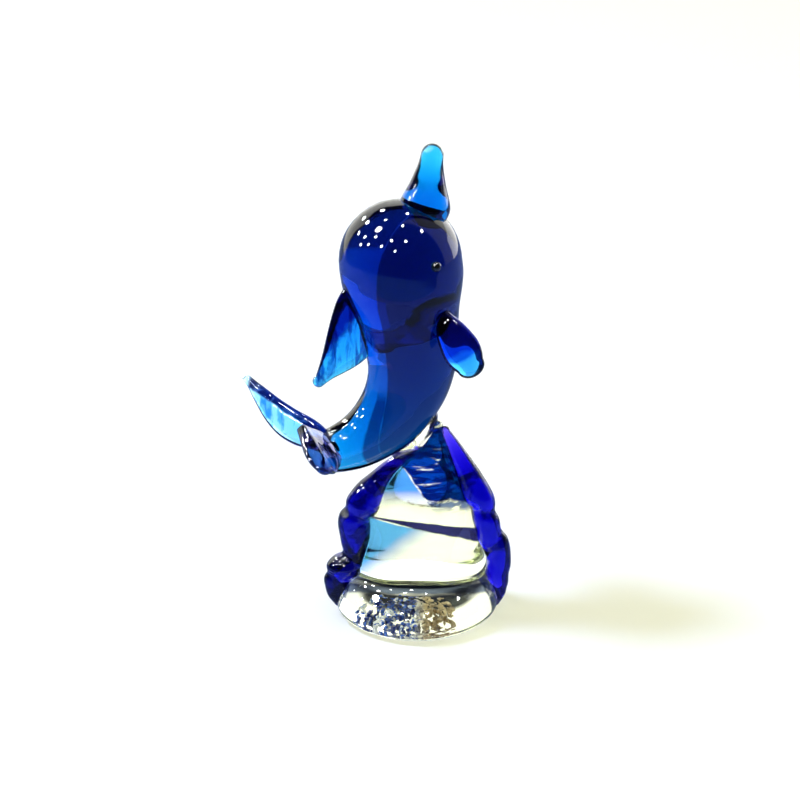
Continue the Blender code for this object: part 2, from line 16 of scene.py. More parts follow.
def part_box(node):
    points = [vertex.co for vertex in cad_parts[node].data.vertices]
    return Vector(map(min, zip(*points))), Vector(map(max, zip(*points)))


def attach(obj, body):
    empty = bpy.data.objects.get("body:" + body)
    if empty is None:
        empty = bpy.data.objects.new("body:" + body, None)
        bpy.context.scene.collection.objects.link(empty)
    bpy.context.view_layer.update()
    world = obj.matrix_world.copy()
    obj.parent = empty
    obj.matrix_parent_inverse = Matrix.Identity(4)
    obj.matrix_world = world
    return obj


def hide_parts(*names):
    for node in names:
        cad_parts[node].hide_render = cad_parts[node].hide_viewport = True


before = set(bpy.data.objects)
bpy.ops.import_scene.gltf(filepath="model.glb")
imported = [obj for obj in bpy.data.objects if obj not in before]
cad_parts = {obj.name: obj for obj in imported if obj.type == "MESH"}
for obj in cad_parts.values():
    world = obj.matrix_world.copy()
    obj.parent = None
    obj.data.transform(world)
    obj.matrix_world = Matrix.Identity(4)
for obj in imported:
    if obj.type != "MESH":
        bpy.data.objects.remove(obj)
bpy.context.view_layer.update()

MM = 0.001


def centre_of(node):
    """The middle of a CAD node's box."""
    low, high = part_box(node)
    return (low + high) / 2


# ---------------------------------------------------------------- fineness
CAP_STEPS = 12
ROCK_SIDES = 96
TRAIL_SIDES = 40
BODY_SIDES = 96
FIN_SIDES = 72
BEAD_SIDES = 40
JOINT_GAP = 0.03 * MM  # between the two skins of a melted joint
OUTSIDE, INSIDE, CAP = 0, 1, 2  # material slots: open skin, melted joint, and faces to throw away

# ---------------------------------------------------------------- clear rock
ROCK_HEIGHT = 51.0 * MM
FOOT_RADIUS = (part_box("rock")[1].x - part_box("rock")[0].x) / 2
FOOT_THICKNESS = 7.5 * MM
FOOT_ROUNDING = 1.4 * MM
FOOT_INSET = 2.8 * MM
FLARE_RISE = 4.5 * MM
FLARE_SIDE_INSET = 3.2 * MM
FLARE_FACE_INSET = 6.8 * MM  # of the hollowed front
FLARE_BACK_INSET = 3.4 * MM
MIDDLE_HALF_WIDTH = 13.6 * MM
MIDDLE_HALF_DEPTH = 9.6 * MM
MIDDLE_OFFSET = 1.4 * MM
MIDDLE_SHARE = 0.5
SHOULDER_HALF_WIDTH = 9.3 * MM
SHOULDER_HALF_DEPTH = 6.6 * MM
SHOULDER_OFFSET = 1.4 * MM
SHOULDER_SHARE = 0.74
PEAK_RADIUS = 2.2 * MM
PEAK_OFFSET = 4.3 * MM
FACE_STEPS = 64
HAND_DEPTH = 0.12 * MM  # how uneven the hand left a gather
HAND_SIZE = 7.0 * MM
HAND_FADE = 3.0 * MM  # above the flat foot, over which the unevenness sets in

# ---------------------------------------------------------------- scar under the foot
PONTIL_CHIPS = 230
PONTIL_PLACE = (-2.2 * MM, -6.4 * MM)
PONTIL_REACH = (10.0 * MM, 6.4 * MM)
CHIP_HEIGHTS = (0.9, 1.7)  # millimetres above the ground
CHIP_SIZES = (0.25, 0.85)  # millimetres
CHIP_FLATNESS = 0.3
CHIP_TILT = 0.3
CHIP_ROUGHNESS = 0.04 * MM
CHIP_SPECKLE = 420.0  # counts per metre
CHIP_COLOURS = (
    (0.0, (0.006, 0.02, 0.16)),
    (0.44, (0.02, 0.09, 0.45)),
    (0.52, (0.75, 0.8, 0.85)),
    (0.63, (0.12, 0.22, 0.5)),
)
SAND_COLOURS = ((0.4, (0.16, 0.1, 0.04)), (0.6, (0.6, 0.48, 0.28)))
SAND_EDGE = (-0.5 * MM, 2.0 * MM)  # where the chips turn sandy

# ---------------------------------------------------------------- blue trails
TRAIL_RADIUS = 3.7 * MM
# each line is one station: its share of the rock's height, and, in shares of the trail's radius, how far
# the trail's centre stands out from the rock's side and its half width
TRAIL_SHAPES = {
    "left": (
        (0.875, -0.7, 0.42), (0.81, -0.4, 0.74), (0.737, -0.03, 0.87), (0.686, 0.27, 1.05),
        (0.633, 0.45, 1.18), (0.58, 0.54, 1.26), (0.539, 0.65, 1.24), (0.508, 0.74, 1.14),
        (0.475, 0.62, 1.14), (0.422, 0.35, 1.1), (0.369, 0.18, 1.0), (0.331, 0.15, 0.96),
        (0.3, 0.36, 1.14), (0.263, 0.46, 1.28), (0.22, 0.38, 1.22), (0.192, 0.3, 1.08),
        (0.155, -0.05, 1.0), (0.1, -0.35, 0.84), (0.06, -0.46, 0.54),
    ),
    "right": (
        (0.953, 0.08, 0.27), (0.894, 0.22, 0.46), (0.816, 0.35, 0.68), (0.737, 0.49, 0.86),
        (0.633, 0.54, 1.05), (0.555, 0.54, 0.92), (0.475, 0.57, 0.92), (0.406, 0.73, 1.0),
        (0.343, 0.84, 0.95), (0.263, 0.76, 0.84), (0.18, 0.24, 0.73), (0.1, -0.16, 0.51),
        (0.063, -0.27, 0.35),
    ),
}
TRAIL_DEPTH_SHARE = 0.86  # of the half width, from front to back
TRAIL_END_CAP = 0.8 * MM
TRAIL_FORWARD = 2.8 * MM
TRAIL_FORWARD_SHARE = 0.3
TRAIL_STEPS = 150
# where a trail was folded on itself: a point of the fold's plane and its normal, both in X and Z, and the
# depth. Points and depths are in millimetres
TRAIL_FOLDS = {
    "left": (
        ((-10.7, 25.9), (0.42, 0.91), 0.7),
        ((-17.9, 16.9), (0.54, 0.84), 0.5),
        ((-15.5, 9.5), (0.32, 0.95), 0.6),
    ),
    "right": (
        ((18.0, 28.3), (0.1, 1.0), 0.5),
        ((17.2, 16.1), (0.87, -0.5), 0.5),
        ((20.0, 8.2), (0.3, 0.95), 0.3),
    ),
}
TRAIL_FOLD_WIDTH = 1.3 * MM

# ---------------------------------------------------------------- dolphin's body
DOLPHIN_TURN = math.radians(18)
HEAD_RADIUS = 14.5 * MM
CHEST_RADIUS = 12.4 * MM
WAIST_RADIUS = 10.4 * MM
LOIN_RADIUS = 8.8 * MM
TAIL_RADIUS = 5.7 * MM
TAIL_HALF_THICKNESS = 4.6 * MM
BACK_LENGTH = 21.6 * MM
BACK_LEAN = math.radians(7.2)
BEND_RADIUS = 22.0 * MM
BEND_END = math.radians(84)
TAIL_CAP = 2.4 * MM
SEAT_ANGLE = math.radians(42)
BACK_STEPS = 26
BEND_STEPS = 56

# ---------------------------------------------------------------- beak and eyes
BEAK_LENGTH = 12.0 * MM
BEAK_ROOT_RADIUS = 5.9 * MM
BEAK_MIDDLE_RADIUS = 4.2 * MM
BEAK_TIP_RADIUS = 2.6 * MM
BEAK_OFFSET = 6.1 * MM
BEAK_LEAN = math.radians(8)
BEAK_ROOT_DEPTH = 6.0 * MM
BEAK_STEPS = 48
EYE_RADIUS = 1.22 * MM
EYE_HALF_THICKNESS = 0.9 * MM
EYE_SINK = 0.5 * MM
PUPIL_RADIUS = 1.15 * MM
PUPIL_HALF_THICKNESS = 0.8 * MM
PUPIL_RISE = 0.4 * MM
PUPIL_LIFT = 0.2 * MM  # its crown stands a little prouder than the part's
EYE_BEARING = math.radians(72.5)
EYE_HEIGHT = 2.4 * MM

# ---------------------------------------------------------------- back fin and flippers
FIN_STEPS = 40
FIN_ROOT_DEPTH = 2.2 * MM
FIN_ROOT_CAP = 0.6 * MM
DORSAL_HALF_CHORD = 8.6 * MM
DORSAL_HALF_THICKNESS = 2.7 * MM
DORSAL_TIP_RADIUS = 1.5 * MM
DORSAL_SPAN = 17.2 * MM
DORSAL_SWEEP = math.radians(56)
DORSAL_PITCH = math.radians(24)
DORSAL_PLACE = 13.8 * MM
FLIPPER_HALF_CHORD = 4.5 * MM
FLIPPER_HALF_THICKNESS = 2.1 * MM
FLIPPER_TIP = 2.8 * MM
FLIPPER_SPAN = 11.8 * MM
FLIPPER_BEARING = math.radians(63)
FLIPPER_PLACE = 12.4 * MM
FLIPPER_AIM = (0.36, 0.52, -0.78)
FLIPPER_CHORD = (0.88, 0.09, 0.47)

# ---------------------------------------------------------------- tail flukes
FLUKE_RISE = math.radians(33)
FLUKE_DROOP = math.radians(12)
FLUKE_TIP_RADIUS = 0.95 * MM
RIGHT_FLUKE_HALF_CHORD = 6.0 * MM
RIGHT_FLUKE_HALF_THICKNESS = 2.3 * MM
RIGHT_FLUKE_SPAN = 14.6 * MM
RIGHT_FLUKE_SWEEP = 4.0 * MM
RIGHT_FLUKE_BACKSET = 4.3 * MM
FLUKE_RIDGE_PLACE = (-24.2, -10.0, 48.9)  # millimetres
FLUKE_RIDGE_WAY = (-0.82, -0.215, -0.53)
FLUKE_RIDGE_HEIGHT = 0.5 * MM
FLUKE_RIDGE_WIDTH = 0.8 * MM
LEFT_FLUKE_HALF_CHORD = 3.9 * MM
LEFT_FLUKE_HALF_THICKNESS = 1.9 * MM
LEFT_FLUKE_SPAN = 25.6 * MM
LEFT_FLUKE_SWEEP = 1.6 * MM
LEFT_FLUKE_AIM = (-0.574, 0.644, 0.504)
LEFT_FLUKE_CHORD = (-0.45, -0.28, -0.85)
LEFT_FLUKE_ROOT = Vector((-1.6, 1.6, 0.6)) * MM
DROP_RADIUS = 0.95 * MM

# ---------------------------------------------------------------- clear weld under the dolphin
WELD_HALF_LENGTH = 7.8 * MM
WELD_HALF_WIDTH = 4.4 * MM
WELD_HALF_HEIGHT = 3.2 * MM

# ---------------------------------------------------------------- glass
WHITE = (1.0, 1.0, 1.0)
GLASS_IOR = 1.5
SKIN_ROUGHNESS = 0.03
FILM_PLANES = 3
ALL_OVER = ((0.0, 0.0, -1000.0), (0.0, 0.0, 1.0), 1.0)  # a film's plane that leaves nothing out
FRONT = ((0.0, -0.5, 0.0), (0.0, -1.0, 0.0), 0.5)  # a film's plane that leaves the back out
CAMERA_UP = (0.0, 0.375, 0.927)
EDGE_WANDER = 4.0  # how far a film's edge wanders, in drifts
STREAK_SOFTNESS = 0.12
# red, green and blue absorption per metre
CLEAR = (2.0, 1.0, 7.0)
COBALT = (1200.0, 1400.0, 200.0)
DEEP_BLUE = (700.0, 170.0, 58.0)
AZURE = (800.0, 200.0, 60.0)
FIN_BLUE = (1100.0, 320.0, 70.0)
FLIPPER_BLUE = (1300.0, 450.0, 110.0)
FAR_FLIPPER_BLUE = (500.0, 130.0, 40.0)
FLUKE_BLUE = (550.0, 200.0, 35.0)
SMOKE = (60.0, 55.0, 22.0)
PALE_AZURE = (150.0, 25.0, 5.0)

# ---------------------------------------------------------------- studio
LAMP_HEIGHT = 0.36  # above the head, in the lamps' own plane
LAMP_DISTANCE = 1.2
LAMP_PLACES = (
    (-0.17, 0.37), (-0.46, 0.62), (-0.37, 0.29), (-0.15, 0.11), (0.06, 0.17), (0.25, -0.03),
    (0.03, -0.04), (-0.67, 0.33), (-0.54, 0.07), (-0.33, -0.09), (-0.13, -0.24), (0.07, -0.24),
    (-0.60, -0.14), (-0.92, 0.06), (-0.33, -0.32), (-0.13, -0.48),
)
LAMP_RADIUS = 0.045
LAMP_RADIANCE = 130.0
KEY_PLACE = (-0.25, 0.01)
GLINT_RADIUS = 0.11
GLINT_RADIANCE = 60.0
KEY_RADIUS = 0.13
KEY_RADIANCE = 70.0
KEY_COLOUR = (0.5, 0.6, 1.0)
WINDOW_CORNER = (0.14, 0.70, -0.2)
WINDOW_ACROSS = (0.6, -0.35, 0.0)
WINDOW_UP = (0.0, 0.0, 0.5)
WINDOW_STRENGTH = (3.0, 3.0, 3.0)
# the room: white around the table for the camera, what the table is lit by, and, for the glass, a white
# wall behind, two sides and the table's front edge. Elevations are in degrees
DAYLIGHT = (1.15, 1.15, 1.15)
TABLE_LIGHT = (0.98, 0.98, 0.72)
ROOM = (0.02, 0.022, 0.035)
ROOM_SOFTNESS = 2.0
BACK_WALL = (1.5, 1.5, 1.4)
BACK_WALL_TOP = 34.0
SIDE_SHARE = 0.75
LEFT_SIDE = (0.03, 0.04, 0.09)
RIGHT_SIDE = (0.35, 0.38, 0.55)
FRONT_TABLE = (0.1, 0.24, 0.5)
FRONT_TABLE_EDGE = -15.0
FRONT_EDGE_LEAN = 0.08
TABLE_SIZE = (1.4, 0.9, 1.0)
TABLE_PLACE = (0.15, 0.33, -0.05 * MM)
TABLE_WHITE = (0.9, 0.9, 0.9)
TABLE_GLOW = (1.0, 0.99, 0.9)
TABLE_LIFT = 0.7
TABLE_IN_SKINS = (0.17, 0.22, 0.45)  # as the skins mirror it
CAMERA_TARGET = Vector((-3.986, 0.0, 56.0)) * MM
CAMERA_DISTANCE = 588.0 * MM
CAMERA_ELEVATION = math.radians(22)
CAMERA_LENS = 110.0  # millimetres
CAMERA_SENSOR = 36.0  # millimetres


# ================================================================ curves
def slope(first, last):
    """The mean slope between two knots."""
    return (last[1] - first[1]) / (last[0] - first[0])


def smooth_through(knots, at):
    """The value at a place along (place, value) knots, on a smooth curve."""
    index = 0
    while index < len(knots) - 2 and at > knots[index + 1][0]:
        index += 1
    low, high = knots[index], knots[index + 1]
    before, after = knots[max(index - 1, 0)], knots[min(index + 2, len(knots) - 1)]
    length = high[0] - low[0]
    share = (at - low[0]) / length
    square, cube = share**2, share**3
    return (
        low[1] * (2 * cube - 3 * square + 1)
        + slope(before, high) * length * (cube - 2 * square + share)
        + high[1] * (3 * square - 2 * cube)
        + slope(low, after) * length * (cube - square)
    )


# ================================================================ lofted solids
class Station:
    """One elliptical section of a gather: its centre, its two directions and its two radii."""

    def __init__(self, centre, wide, thin, wide_radius, thin_radius):
        self.centre = Vector(centre)
        self.wide = Vector(wide).normalized()
        self.thin = Vector(thin).normalized()
        self.wide_radius = wide_radius
        self.thin_radius = thin_radius

    def matrix(self, share=1.0, ahead=0.0):
        """Carries a unit circle to this section, shrunk to a share and moved ahead."""
        along = self.wide.cross(self.thin).normalized()
        wide = self.wide * self.wide_radius * share
        thin = self.thin * self.thin_radius * share
        place = self.centre + along * ahead
        rows = [[column[axis] for column in (wide, thin, along, place)] for axis in range(3)]
        return Matrix((*rows, (0.0, 0.0, 0.0, 1.0)))


def cap_angles():
    """The angles of a round cap's rings, between its pole and its rim."""
    return [math.radians(90) * step / CAP_STEPS for step in range(1, CAP_STEPS)]


def ring_matrices(stations, caps):
    """The matrices of every ring of a loft: a round cap, the stations, and another round cap."""
    first, last = stations[0], stations[-1]
    rings = [first.matrix(math.sin(angle), -caps[0] * math.cos(angle)) for angle in cap_angles()]
    rings += [station.matrix() for station in stations]
    rings += [last.matrix(math.cos(angle), caps[1] * math.sin(angle)) for angle in cap_angles()]
    return rings


def loft(name, matrices, sides, frame_matrix=None):
    """A closed skin through rings: one circle, extruded from matrix to matrix."""
    bm = bmesh.new()
    first = bmesh.ops.create_circle(bm, cap_ends=True, segments=sides, radius=1.0, matrix=matrices[0])
    edges = list({edge for vert in first["verts"] for edge in vert.link_edges})
    for before, after in zip(matrices, matrices[1:]):
        made = bmesh.ops.extrude_edge_only(bm, edges=edges)["geom"]
        ring = [item for item in made if isinstance(item, bmesh.types.BMVert)]
        made_edges = [item for item in made if isinstance(item, bmesh.types.BMEdge)]
        edges = [edge for edge in made_edges if all(vert in ring for vert in edge.verts)]
        bmesh.ops.transform(bm, matrix=after @ before.inverted(), verts=ring)
    bmesh.ops.contextual_create(bm, geom=edges)
    if frame_matrix is not None:
        bmesh.ops.transform(bm, matrix=frame_matrix, verts=bm.verts[:])
    bmesh.ops.recalc_face_normals(bm, faces=bm.faces[:])
    return finished(name, bm)


def finished(name, bm):
    """Turns a bmesh into a smooth mesh with room for its three material slots."""
    mesh = bpy.data.meshes.new(name)
    bm.to_mesh(mesh)
    bm.free()
    mesh.shade_smooth()
    for _ in (OUTSIDE, INSIDE, CAP):
        mesh.materials.append(None)
    return mesh


def swell(mesh, amount):
    """Moves every point out along its normal by what amount(point) says."""
    normals = [vert.normal.copy() for vert in mesh.vertices]
    for vert, normal in zip(mesh.vertices, normals):
        vert.co += normal * amount(vert.co)
    mesh.update()


def fold(mesh, middle, normal, height, width):
    """Raises a ridge, or presses a groove, where a mesh crosses a plane."""
    swell(mesh, lambda point: height * math.exp(-((normal.dot(point - middle) / width) ** 2)))


def hand_worked(mesh, depth, size, seed):
    """Leaves a mesh slightly uneven, as glass that was shaped by hand."""
    offset = Vector((seed, 2.7 * seed, 5.1 * seed))

    def amount(point):
        return depth * noise.noise(point / size + offset) * min(1.0, point.z / HAND_FADE)

    swell(mesh, amount)


# ================================================================ melted joints
def tagged(mesh, slot):
    """A copy of a mesh with all its faces in one slot."""
    copy = mesh.copy()
    copy.polygons.foreach_set("material_index", [slot] * len(copy.polygons))
    return copy


def boolean(mesh, tool_mesh, operation):
    """One mesh cut by another, as a new mesh."""
    host = bpy.data.objects.new("host", mesh)
    tool = bpy.data.objects.new("tool", tool_mesh)
    for obj in (host, tool):
        bpy.context.scene.collection.objects.link(obj)
    modifier = host.modifiers.new("cut", "BOOLEAN")
    modifier.operation = operation
    modifier.solver = "EXACT"
    modifier.object = tool
    depsgraph = bpy.context.evaluated_depsgraph_get()
    result = bpy.data.meshes.new_from_object(host.evaluated_get(depsgraph), depsgraph=depsgraph)
    for obj in (host, tool):
        bpy.data.objects.remove(obj)
    return result


def cut_back(mesh, guest):
    """Takes a guest and its hair's gap out of a mesh. The new faces are a melted joint."""
    tool = tagged(guest, INSIDE)
    swell(tool, lambda point: JOINT_GAP)
    return boolean(mesh, tool, "DIFFERENCE")


def marked_inside(mesh, carrier):
    """Marks the part of a mesh that lies inside its carrier as a melted joint."""
    cap = tagged(carrier, CAP)
    sunk = boolean(tagged(mesh, INSIDE), cap, "INTERSECT")
    open_part = boolean(mesh.copy(), cap, "DIFFERENCE")
    bm = bmesh.new()
    bm.from_mesh(sunk)
    bm.from_mesh(open_part)
    caps = [face for face in bm.faces if face.material_index == CAP]
    bmesh.ops.delete(bm, geom=caps, context="FACES")
    bmesh.ops.remove_doubles(bm, verts=bm.verts[:], dist=0.0005 * MM)
    return finished(mesh.name, bm)


# ================================================================ clear rock
def rock_reach(height, rim_share, inset, middle, shoulder):
    """How far the rock reaches from its axis to one side at a height."""
    knots = [
        (0.0, FOOT_RADIUS - FOOT_INSET),
        (FOOT_ROUNDING, FOOT_RADIUS - 0.32 * FOOT_INSET),
        (0.5 * FOOT_THICKNESS, FOOT_RADIUS),
        (FOOT_THICKNESS, FOOT_RADIUS - rim_share * inset),
        (FOOT_THICKNESS + FLARE_RISE, FOOT_RADIUS - inset),
        (MIDDLE_SHARE * ROCK_HEIGHT, middle),
        (SHOULDER_SHARE * ROCK_HEIGHT, shoulder),
        (ROCK_HEIGHT - PEAK_RADIUS, PEAK_RADIUS),
    ]
    return smooth_through(knots, height)


def rock_profile(height):
    """The rock's half width, front depth and lean at a height."""
    width = rock_reach(height, 0.19, FLARE_SIDE_INSET, MIDDLE_HALF_WIDTH, SHOULDER_HALF_WIDTH)
    depth = rock_reach(height, 0.28, FLARE_FACE_INSET, MIDDLE_HALF_DEPTH, SHOULDER_HALF_DEPTH)
    leans = [
        (0.0, 0.0),
        (MIDDLE_SHARE * ROCK_HEIGHT, MIDDLE_OFFSET),
        (SHOULDER_SHARE * ROCK_HEIGHT, SHOULDER_OFFSET),
        (ROCK_HEIGHT - PEAK_RADIUS, PEAK_OFFSET),
    ]
    return width, depth, smooth_through(leans, height)


def rock_back(height):
    """How far the rock reaches back at a height: its back sweeps down to the foot without a hollow."""
    return rock_reach(height, 0.28, FLARE_BACK_INSET, MIDDLE_HALF_DEPTH, SHOULDER_HALF_DEPTH)


def rock_ring(height, share=1.0, ahead=0.0):
    """The matrix of the rock's ring at a height."""
    width, front, lean = rock_profile(height)
    back = rock_back(height)
    centre = (lean, (back - front) / 2, height)
    return Station(centre, (1, 0, 0), (0, 1, 0), width, (front + back) / 2).matrix(share, ahead)


def rock_solid():
    """The clear rock: rings from the ground flat up to the round peak."""
    top = ROCK_HEIGHT - PEAK_RADIUS
    heights = [FOOT_ROUNDING * step / 8 for step in range(8)]
    face_height = top - FOOT_ROUNDING
    heights += [FOOT_ROUNDING + face_height * step / FACE_STEPS for step in range(FACE_STEPS + 1)]
    flat = [rock_ring(0.0, share) for share in (0.08, 0.3, 0.52, 0.72, 0.88, 0.97)]
    matrices = flat + [rock_ring(height) for height in heights]
    for angle in cap_angles():
        matrices.append(rock_ring(top, math.cos(angle), PEAK_RADIUS * math.sin(angle)))
    return loft("rock_glass", matrices, ROCK_SIDES)


# ================================================================ blue trails
def trail_solid(side):
    """One folded trail, in level rings along the rock's side from under the dolphin to the foot."""
    sign = -1.0 if side == "left" else 1.0
    shape = TRAIL_SHAPES[side]
    rises = [(-share * ROCK_HEIGHT, rise * TRAIL_RADIUS) for share, rise, _ in shape]
    halves = [(-share * ROCK_HEIGHT, half * TRAIL_RADIUS) for share, _, half in shape]
    top, bottom = shape[0][0] * ROCK_HEIGHT, shape[-1][0] * ROCK_HEIGHT
    stations = []
    for index in range(TRAIL_STEPS + 1):
        height = top + (bottom - top) * index / TRAIL_STEPS
        width, depth, lean = rock_profile(height)
        forward = min(TRAIL_FORWARD, TRAIL_FORWARD_SHARE * depth)
        centre = Vector((lean + sign * (width + smooth_through(rises, -height)), -forward, height))
        half = smooth_through(halves, -height)
        stations.append(Station(centre, (1, 0, 0), (0, -1, 0), half, half * TRAIL_DEPTH_SHARE))
    caps = (TRAIL_END_CAP, TRAIL_END_CAP)
    mesh = loft("trail_" + side + "_glass", ring_matrices(stations, caps), TRAIL_SIDES)
    for place, normal, depth in TRAIL_FOLDS[side]:
        middle = Vector((place[0], 0.0, place[1])) * MM
        normal = Vector((normal[0], 0.0, normal[1])).normalized()
        fold(mesh, middle, normal, -depth * MM, TRAIL_FOLD_WIDTH)
    return mesh


# ================================================================ dolphin's body
def back_point(distance):
    """The body's centreline on the straight back, measured down from the head's centre."""
    return Vector((math.sin(BACK_LEAN), 0.0, -math.cos(BACK_LEAN))) * distance


def bend_point(angle):
    """The body's centreline on the bend, whose angle runs from straight down to level."""
    across = math.cos(angle) - math.cos(BACK_LEAN)
    down = math.sin(angle) + math.sin(BACK_LEAN)
    return back_point(BACK_LENGTH) + Vector((across, 0.0, -down)) * BEND_RADIUS


def bend_distance(angle):
    """How far a place on the bend is from the head's centre, along the body."""
    return BACK_LENGTH + BEND_RADIUS * (angle + BACK_LEAN)


def body_radius(distance):
    """The body's radius at a distance from the head's centre."""
    knots = [
        (0.0, HEAD_RADIUS),
        (0.09, 0.985 * HEAD_RADIUS),
        (0.24, CHEST_RADIUS),
        (0.5, WAIST_RADIUS),
        (0.69, LOIN_RADIUS),
        (1.0, TAIL_RADIUS),
    ]
    return smooth_through(knots, distance / bend_distance(BEND_END))


def body_solid(place):
    """The head, trunk and tail: one gather, round at the head and pressed flat at the tail."""
    places = []
    for index in range(BACK_STEPS):
        distance = BACK_LENGTH * index / BACK_STEPS
        places.append((distance, back_point(distance), -BACK_LEAN))
    for index in range(BEND_STEPS + 1):
        angle = -BACK_LEAN + (BEND_END + BACK_LEAN) * index / BEND_STEPS
        places.append((bend_distance(angle), bend_point(angle), angle))
    flat = TAIL_HALF_THICKNESS / TAIL_RADIUS
    across = Vector((0.0, 1.0, 0.0))
    stations = []
    for distance, centre, angle in places:
        radius = body_radius(distance)
        pressed = 1.0 - (1.0 - flat) * (distance / bend_distance(BEND_END)) ** 3
        ahead = Vector((-math.sin(angle), 0.0, -math.cos(angle)))
        stations.append(Station(centre, across.cross(ahead), across, radius, radius * pressed))
    return loft("body_glass", ring_matrices(stations, (HEAD_RADIUS, TAIL_CAP)), BODY_SIDES, place)


def seat_outward():
    """From the body's centreline to the skin that rests on the rock."""
    return Vector((math.cos(SEAT_ANGLE), 0.0, -math.sin(SEAT_ANGLE)))


def seat_point():
    """The point of the body's skin that rests on the rock, from the head's centre."""
    return bend_point(SEAT_ANGLE) + seat_outward() * body_radius(bend_distance(SEAT_ANGLE))


def weld_solid(place):
    """The clear weld between the dolphin's bend and the rock."""
    station = Station(seat_point(), seat_outward(), (0, 1, 0), WELD_HALF_HEIGHT, WELD_HALF_WIDTH)
    matrices = ring_matrices([station], (WELD_HALF_LENGTH, WELD_HALF_LENGTH))
    return loft("weld_glass", matrices, FIN_SIDES, place)


# ================================================================ beak and eyes
def beak_solid(place):
    """The beak: a tapered gather on the belly side of the crown, with its root in the head."""
    way = Vector((math.sin(BEAK_LEAN), 0.0, math.cos(BEAK_LEAN)))
    foot = Vector((BEAK_OFFSET, 0.0, math.sqrt(HEAD_RADIUS**2 - BEAK_OFFSET**2)))
    knots = [
        (-BEAK_ROOT_DEPTH, 0.6 * BEAK_ROOT_RADIUS),
        (-0.45 * BEAK_ROOT_DEPTH, 0.93 * BEAK_ROOT_RADIUS),
        (0.0, BEAK_ROOT_RADIUS),
        (0.42 * BEAK_LENGTH, BEAK_MIDDLE_RADIUS),
        (0.8 * BEAK_LENGTH, 1.12 * BEAK_TIP_RADIUS),
        (BEAK_LENGTH, BEAK_TIP_RADIUS),
    ]
    across = Vector((0.0, 1.0, 0.0))
    stations = []
    for index in range(BEAK_STEPS + 1):
        height = -BEAK_ROOT_DEPTH + (BEAK_LENGTH + BEAK_ROOT_DEPTH) * index / BEAK_STEPS
        radius = smooth_through(knots, height)
        stations.append(Station(foot + way * height, across.cross(way), across, radius, radius))
    return loft("beak_glass", ring_matrices(stations, (1.0 * MM, BEAK_TIP_RADIUS)), FIN_SIDES, place)


def eye_skin(sign):
    """The point of the head's skin where an eye sits, from the head's centre."""
    level = math.sqrt(HEAD_RADIUS**2 - EYE_HEIGHT**2)
    return Vector((level * math.cos(EYE_BEARING), sign * level * math.sin(EYE_BEARING), EYE_HEIGHT))


def pupil_centre(sign):
    """The centre of a pupil's bead, from the head's centre."""
    skin = eye_skin(sign)
    return skin + skin.normalized() * (PUPIL_RISE - EYE_SINK)


def bead_solid(name, centre, normal, radius, half_thickness, place):
    """A flattened bead."""
    wide = normal.orthogonal()
    station = Station(centre, wide, normal.cross(wide), radius, radius)
    return loft(name, ring_matrices([station], (half_thickness, half_thickness)), BEAD_SIDES, place)


# ================================================================ fins
def blade_solid(name, root, aim, chord, shape, sizes, tip_cap, place):
    """A flat fin. Each line of its shape has a share of the span, sweep, chord and thickness."""
    span, sweep, half_chord, half_thickness = sizes
    aim = Vector(aim).normalized()
    chord = Vector(chord).normalized()
    thin = aim.cross(chord)
    columns = [[(line[0], line[column]) for line in shape] for column in (1, 2, 3)]
    stations = []
    for index in range(FIN_STEPS + 1):
        at = shape[0][0] + (1.0 - shape[0][0]) * index / FIN_STEPS
        swept, width, thickness = (smooth_through(column, at) for column in columns)
        centre = root + aim * span * at + chord * sweep * swept
        stations.append(Station(centre, chord, thin, half_chord * width, half_thickness * thickness))
    return loft(name, ring_matrices(stations, (FIN_ROOT_CAP, tip_cap)), FIN_SIDES, place)


def dorsal_solid(place):
    """The back fin: a swept triangle whose root sinks into the back."""
    root = back_point(DORSAL_PLACE) - Vector((body_radius(DORSAL_PLACE), 0.0, 0.0))
    aim = (-math.cos(DORSAL_SWEEP), 0.0, -math.sin(DORSAL_SWEEP))
    chord = (math.sin(DORSAL_PITCH), 0.0, -math.cos(DORSAL_PITCH))
    shape = [
        (-FIN_ROOT_DEPTH / DORSAL_SPAN, -0.7, 0.8, 0.8),
        (0.0, 0.0, 1.0, 1.0),
        (0.17, 0.0, 0.97, 0.97),
        (0.36, 0.0, 0.82, 0.9),
        (0.56, 0.0, 0.61, 0.8),
        (0.76, 0.0, 0.38, 0.72),
        (0.91, 0.0, 0.24, 0.64),
        (1.0, 0.0, DORSAL_TIP_RADIUS / DORSAL_HALF_CHORD, DORSAL_TIP_RADIUS / DORSAL_HALF_THICKNESS),
    ]
    sizes = (DORSAL_SPAN, FIN_ROOT_DEPTH, DORSAL_HALF_CHORD, DORSAL_HALF_THICKNESS)
    return blade_solid("dorsal_fin_glass", root, aim, chord, shape, sizes, DORSAL_TIP_RADIUS, place)


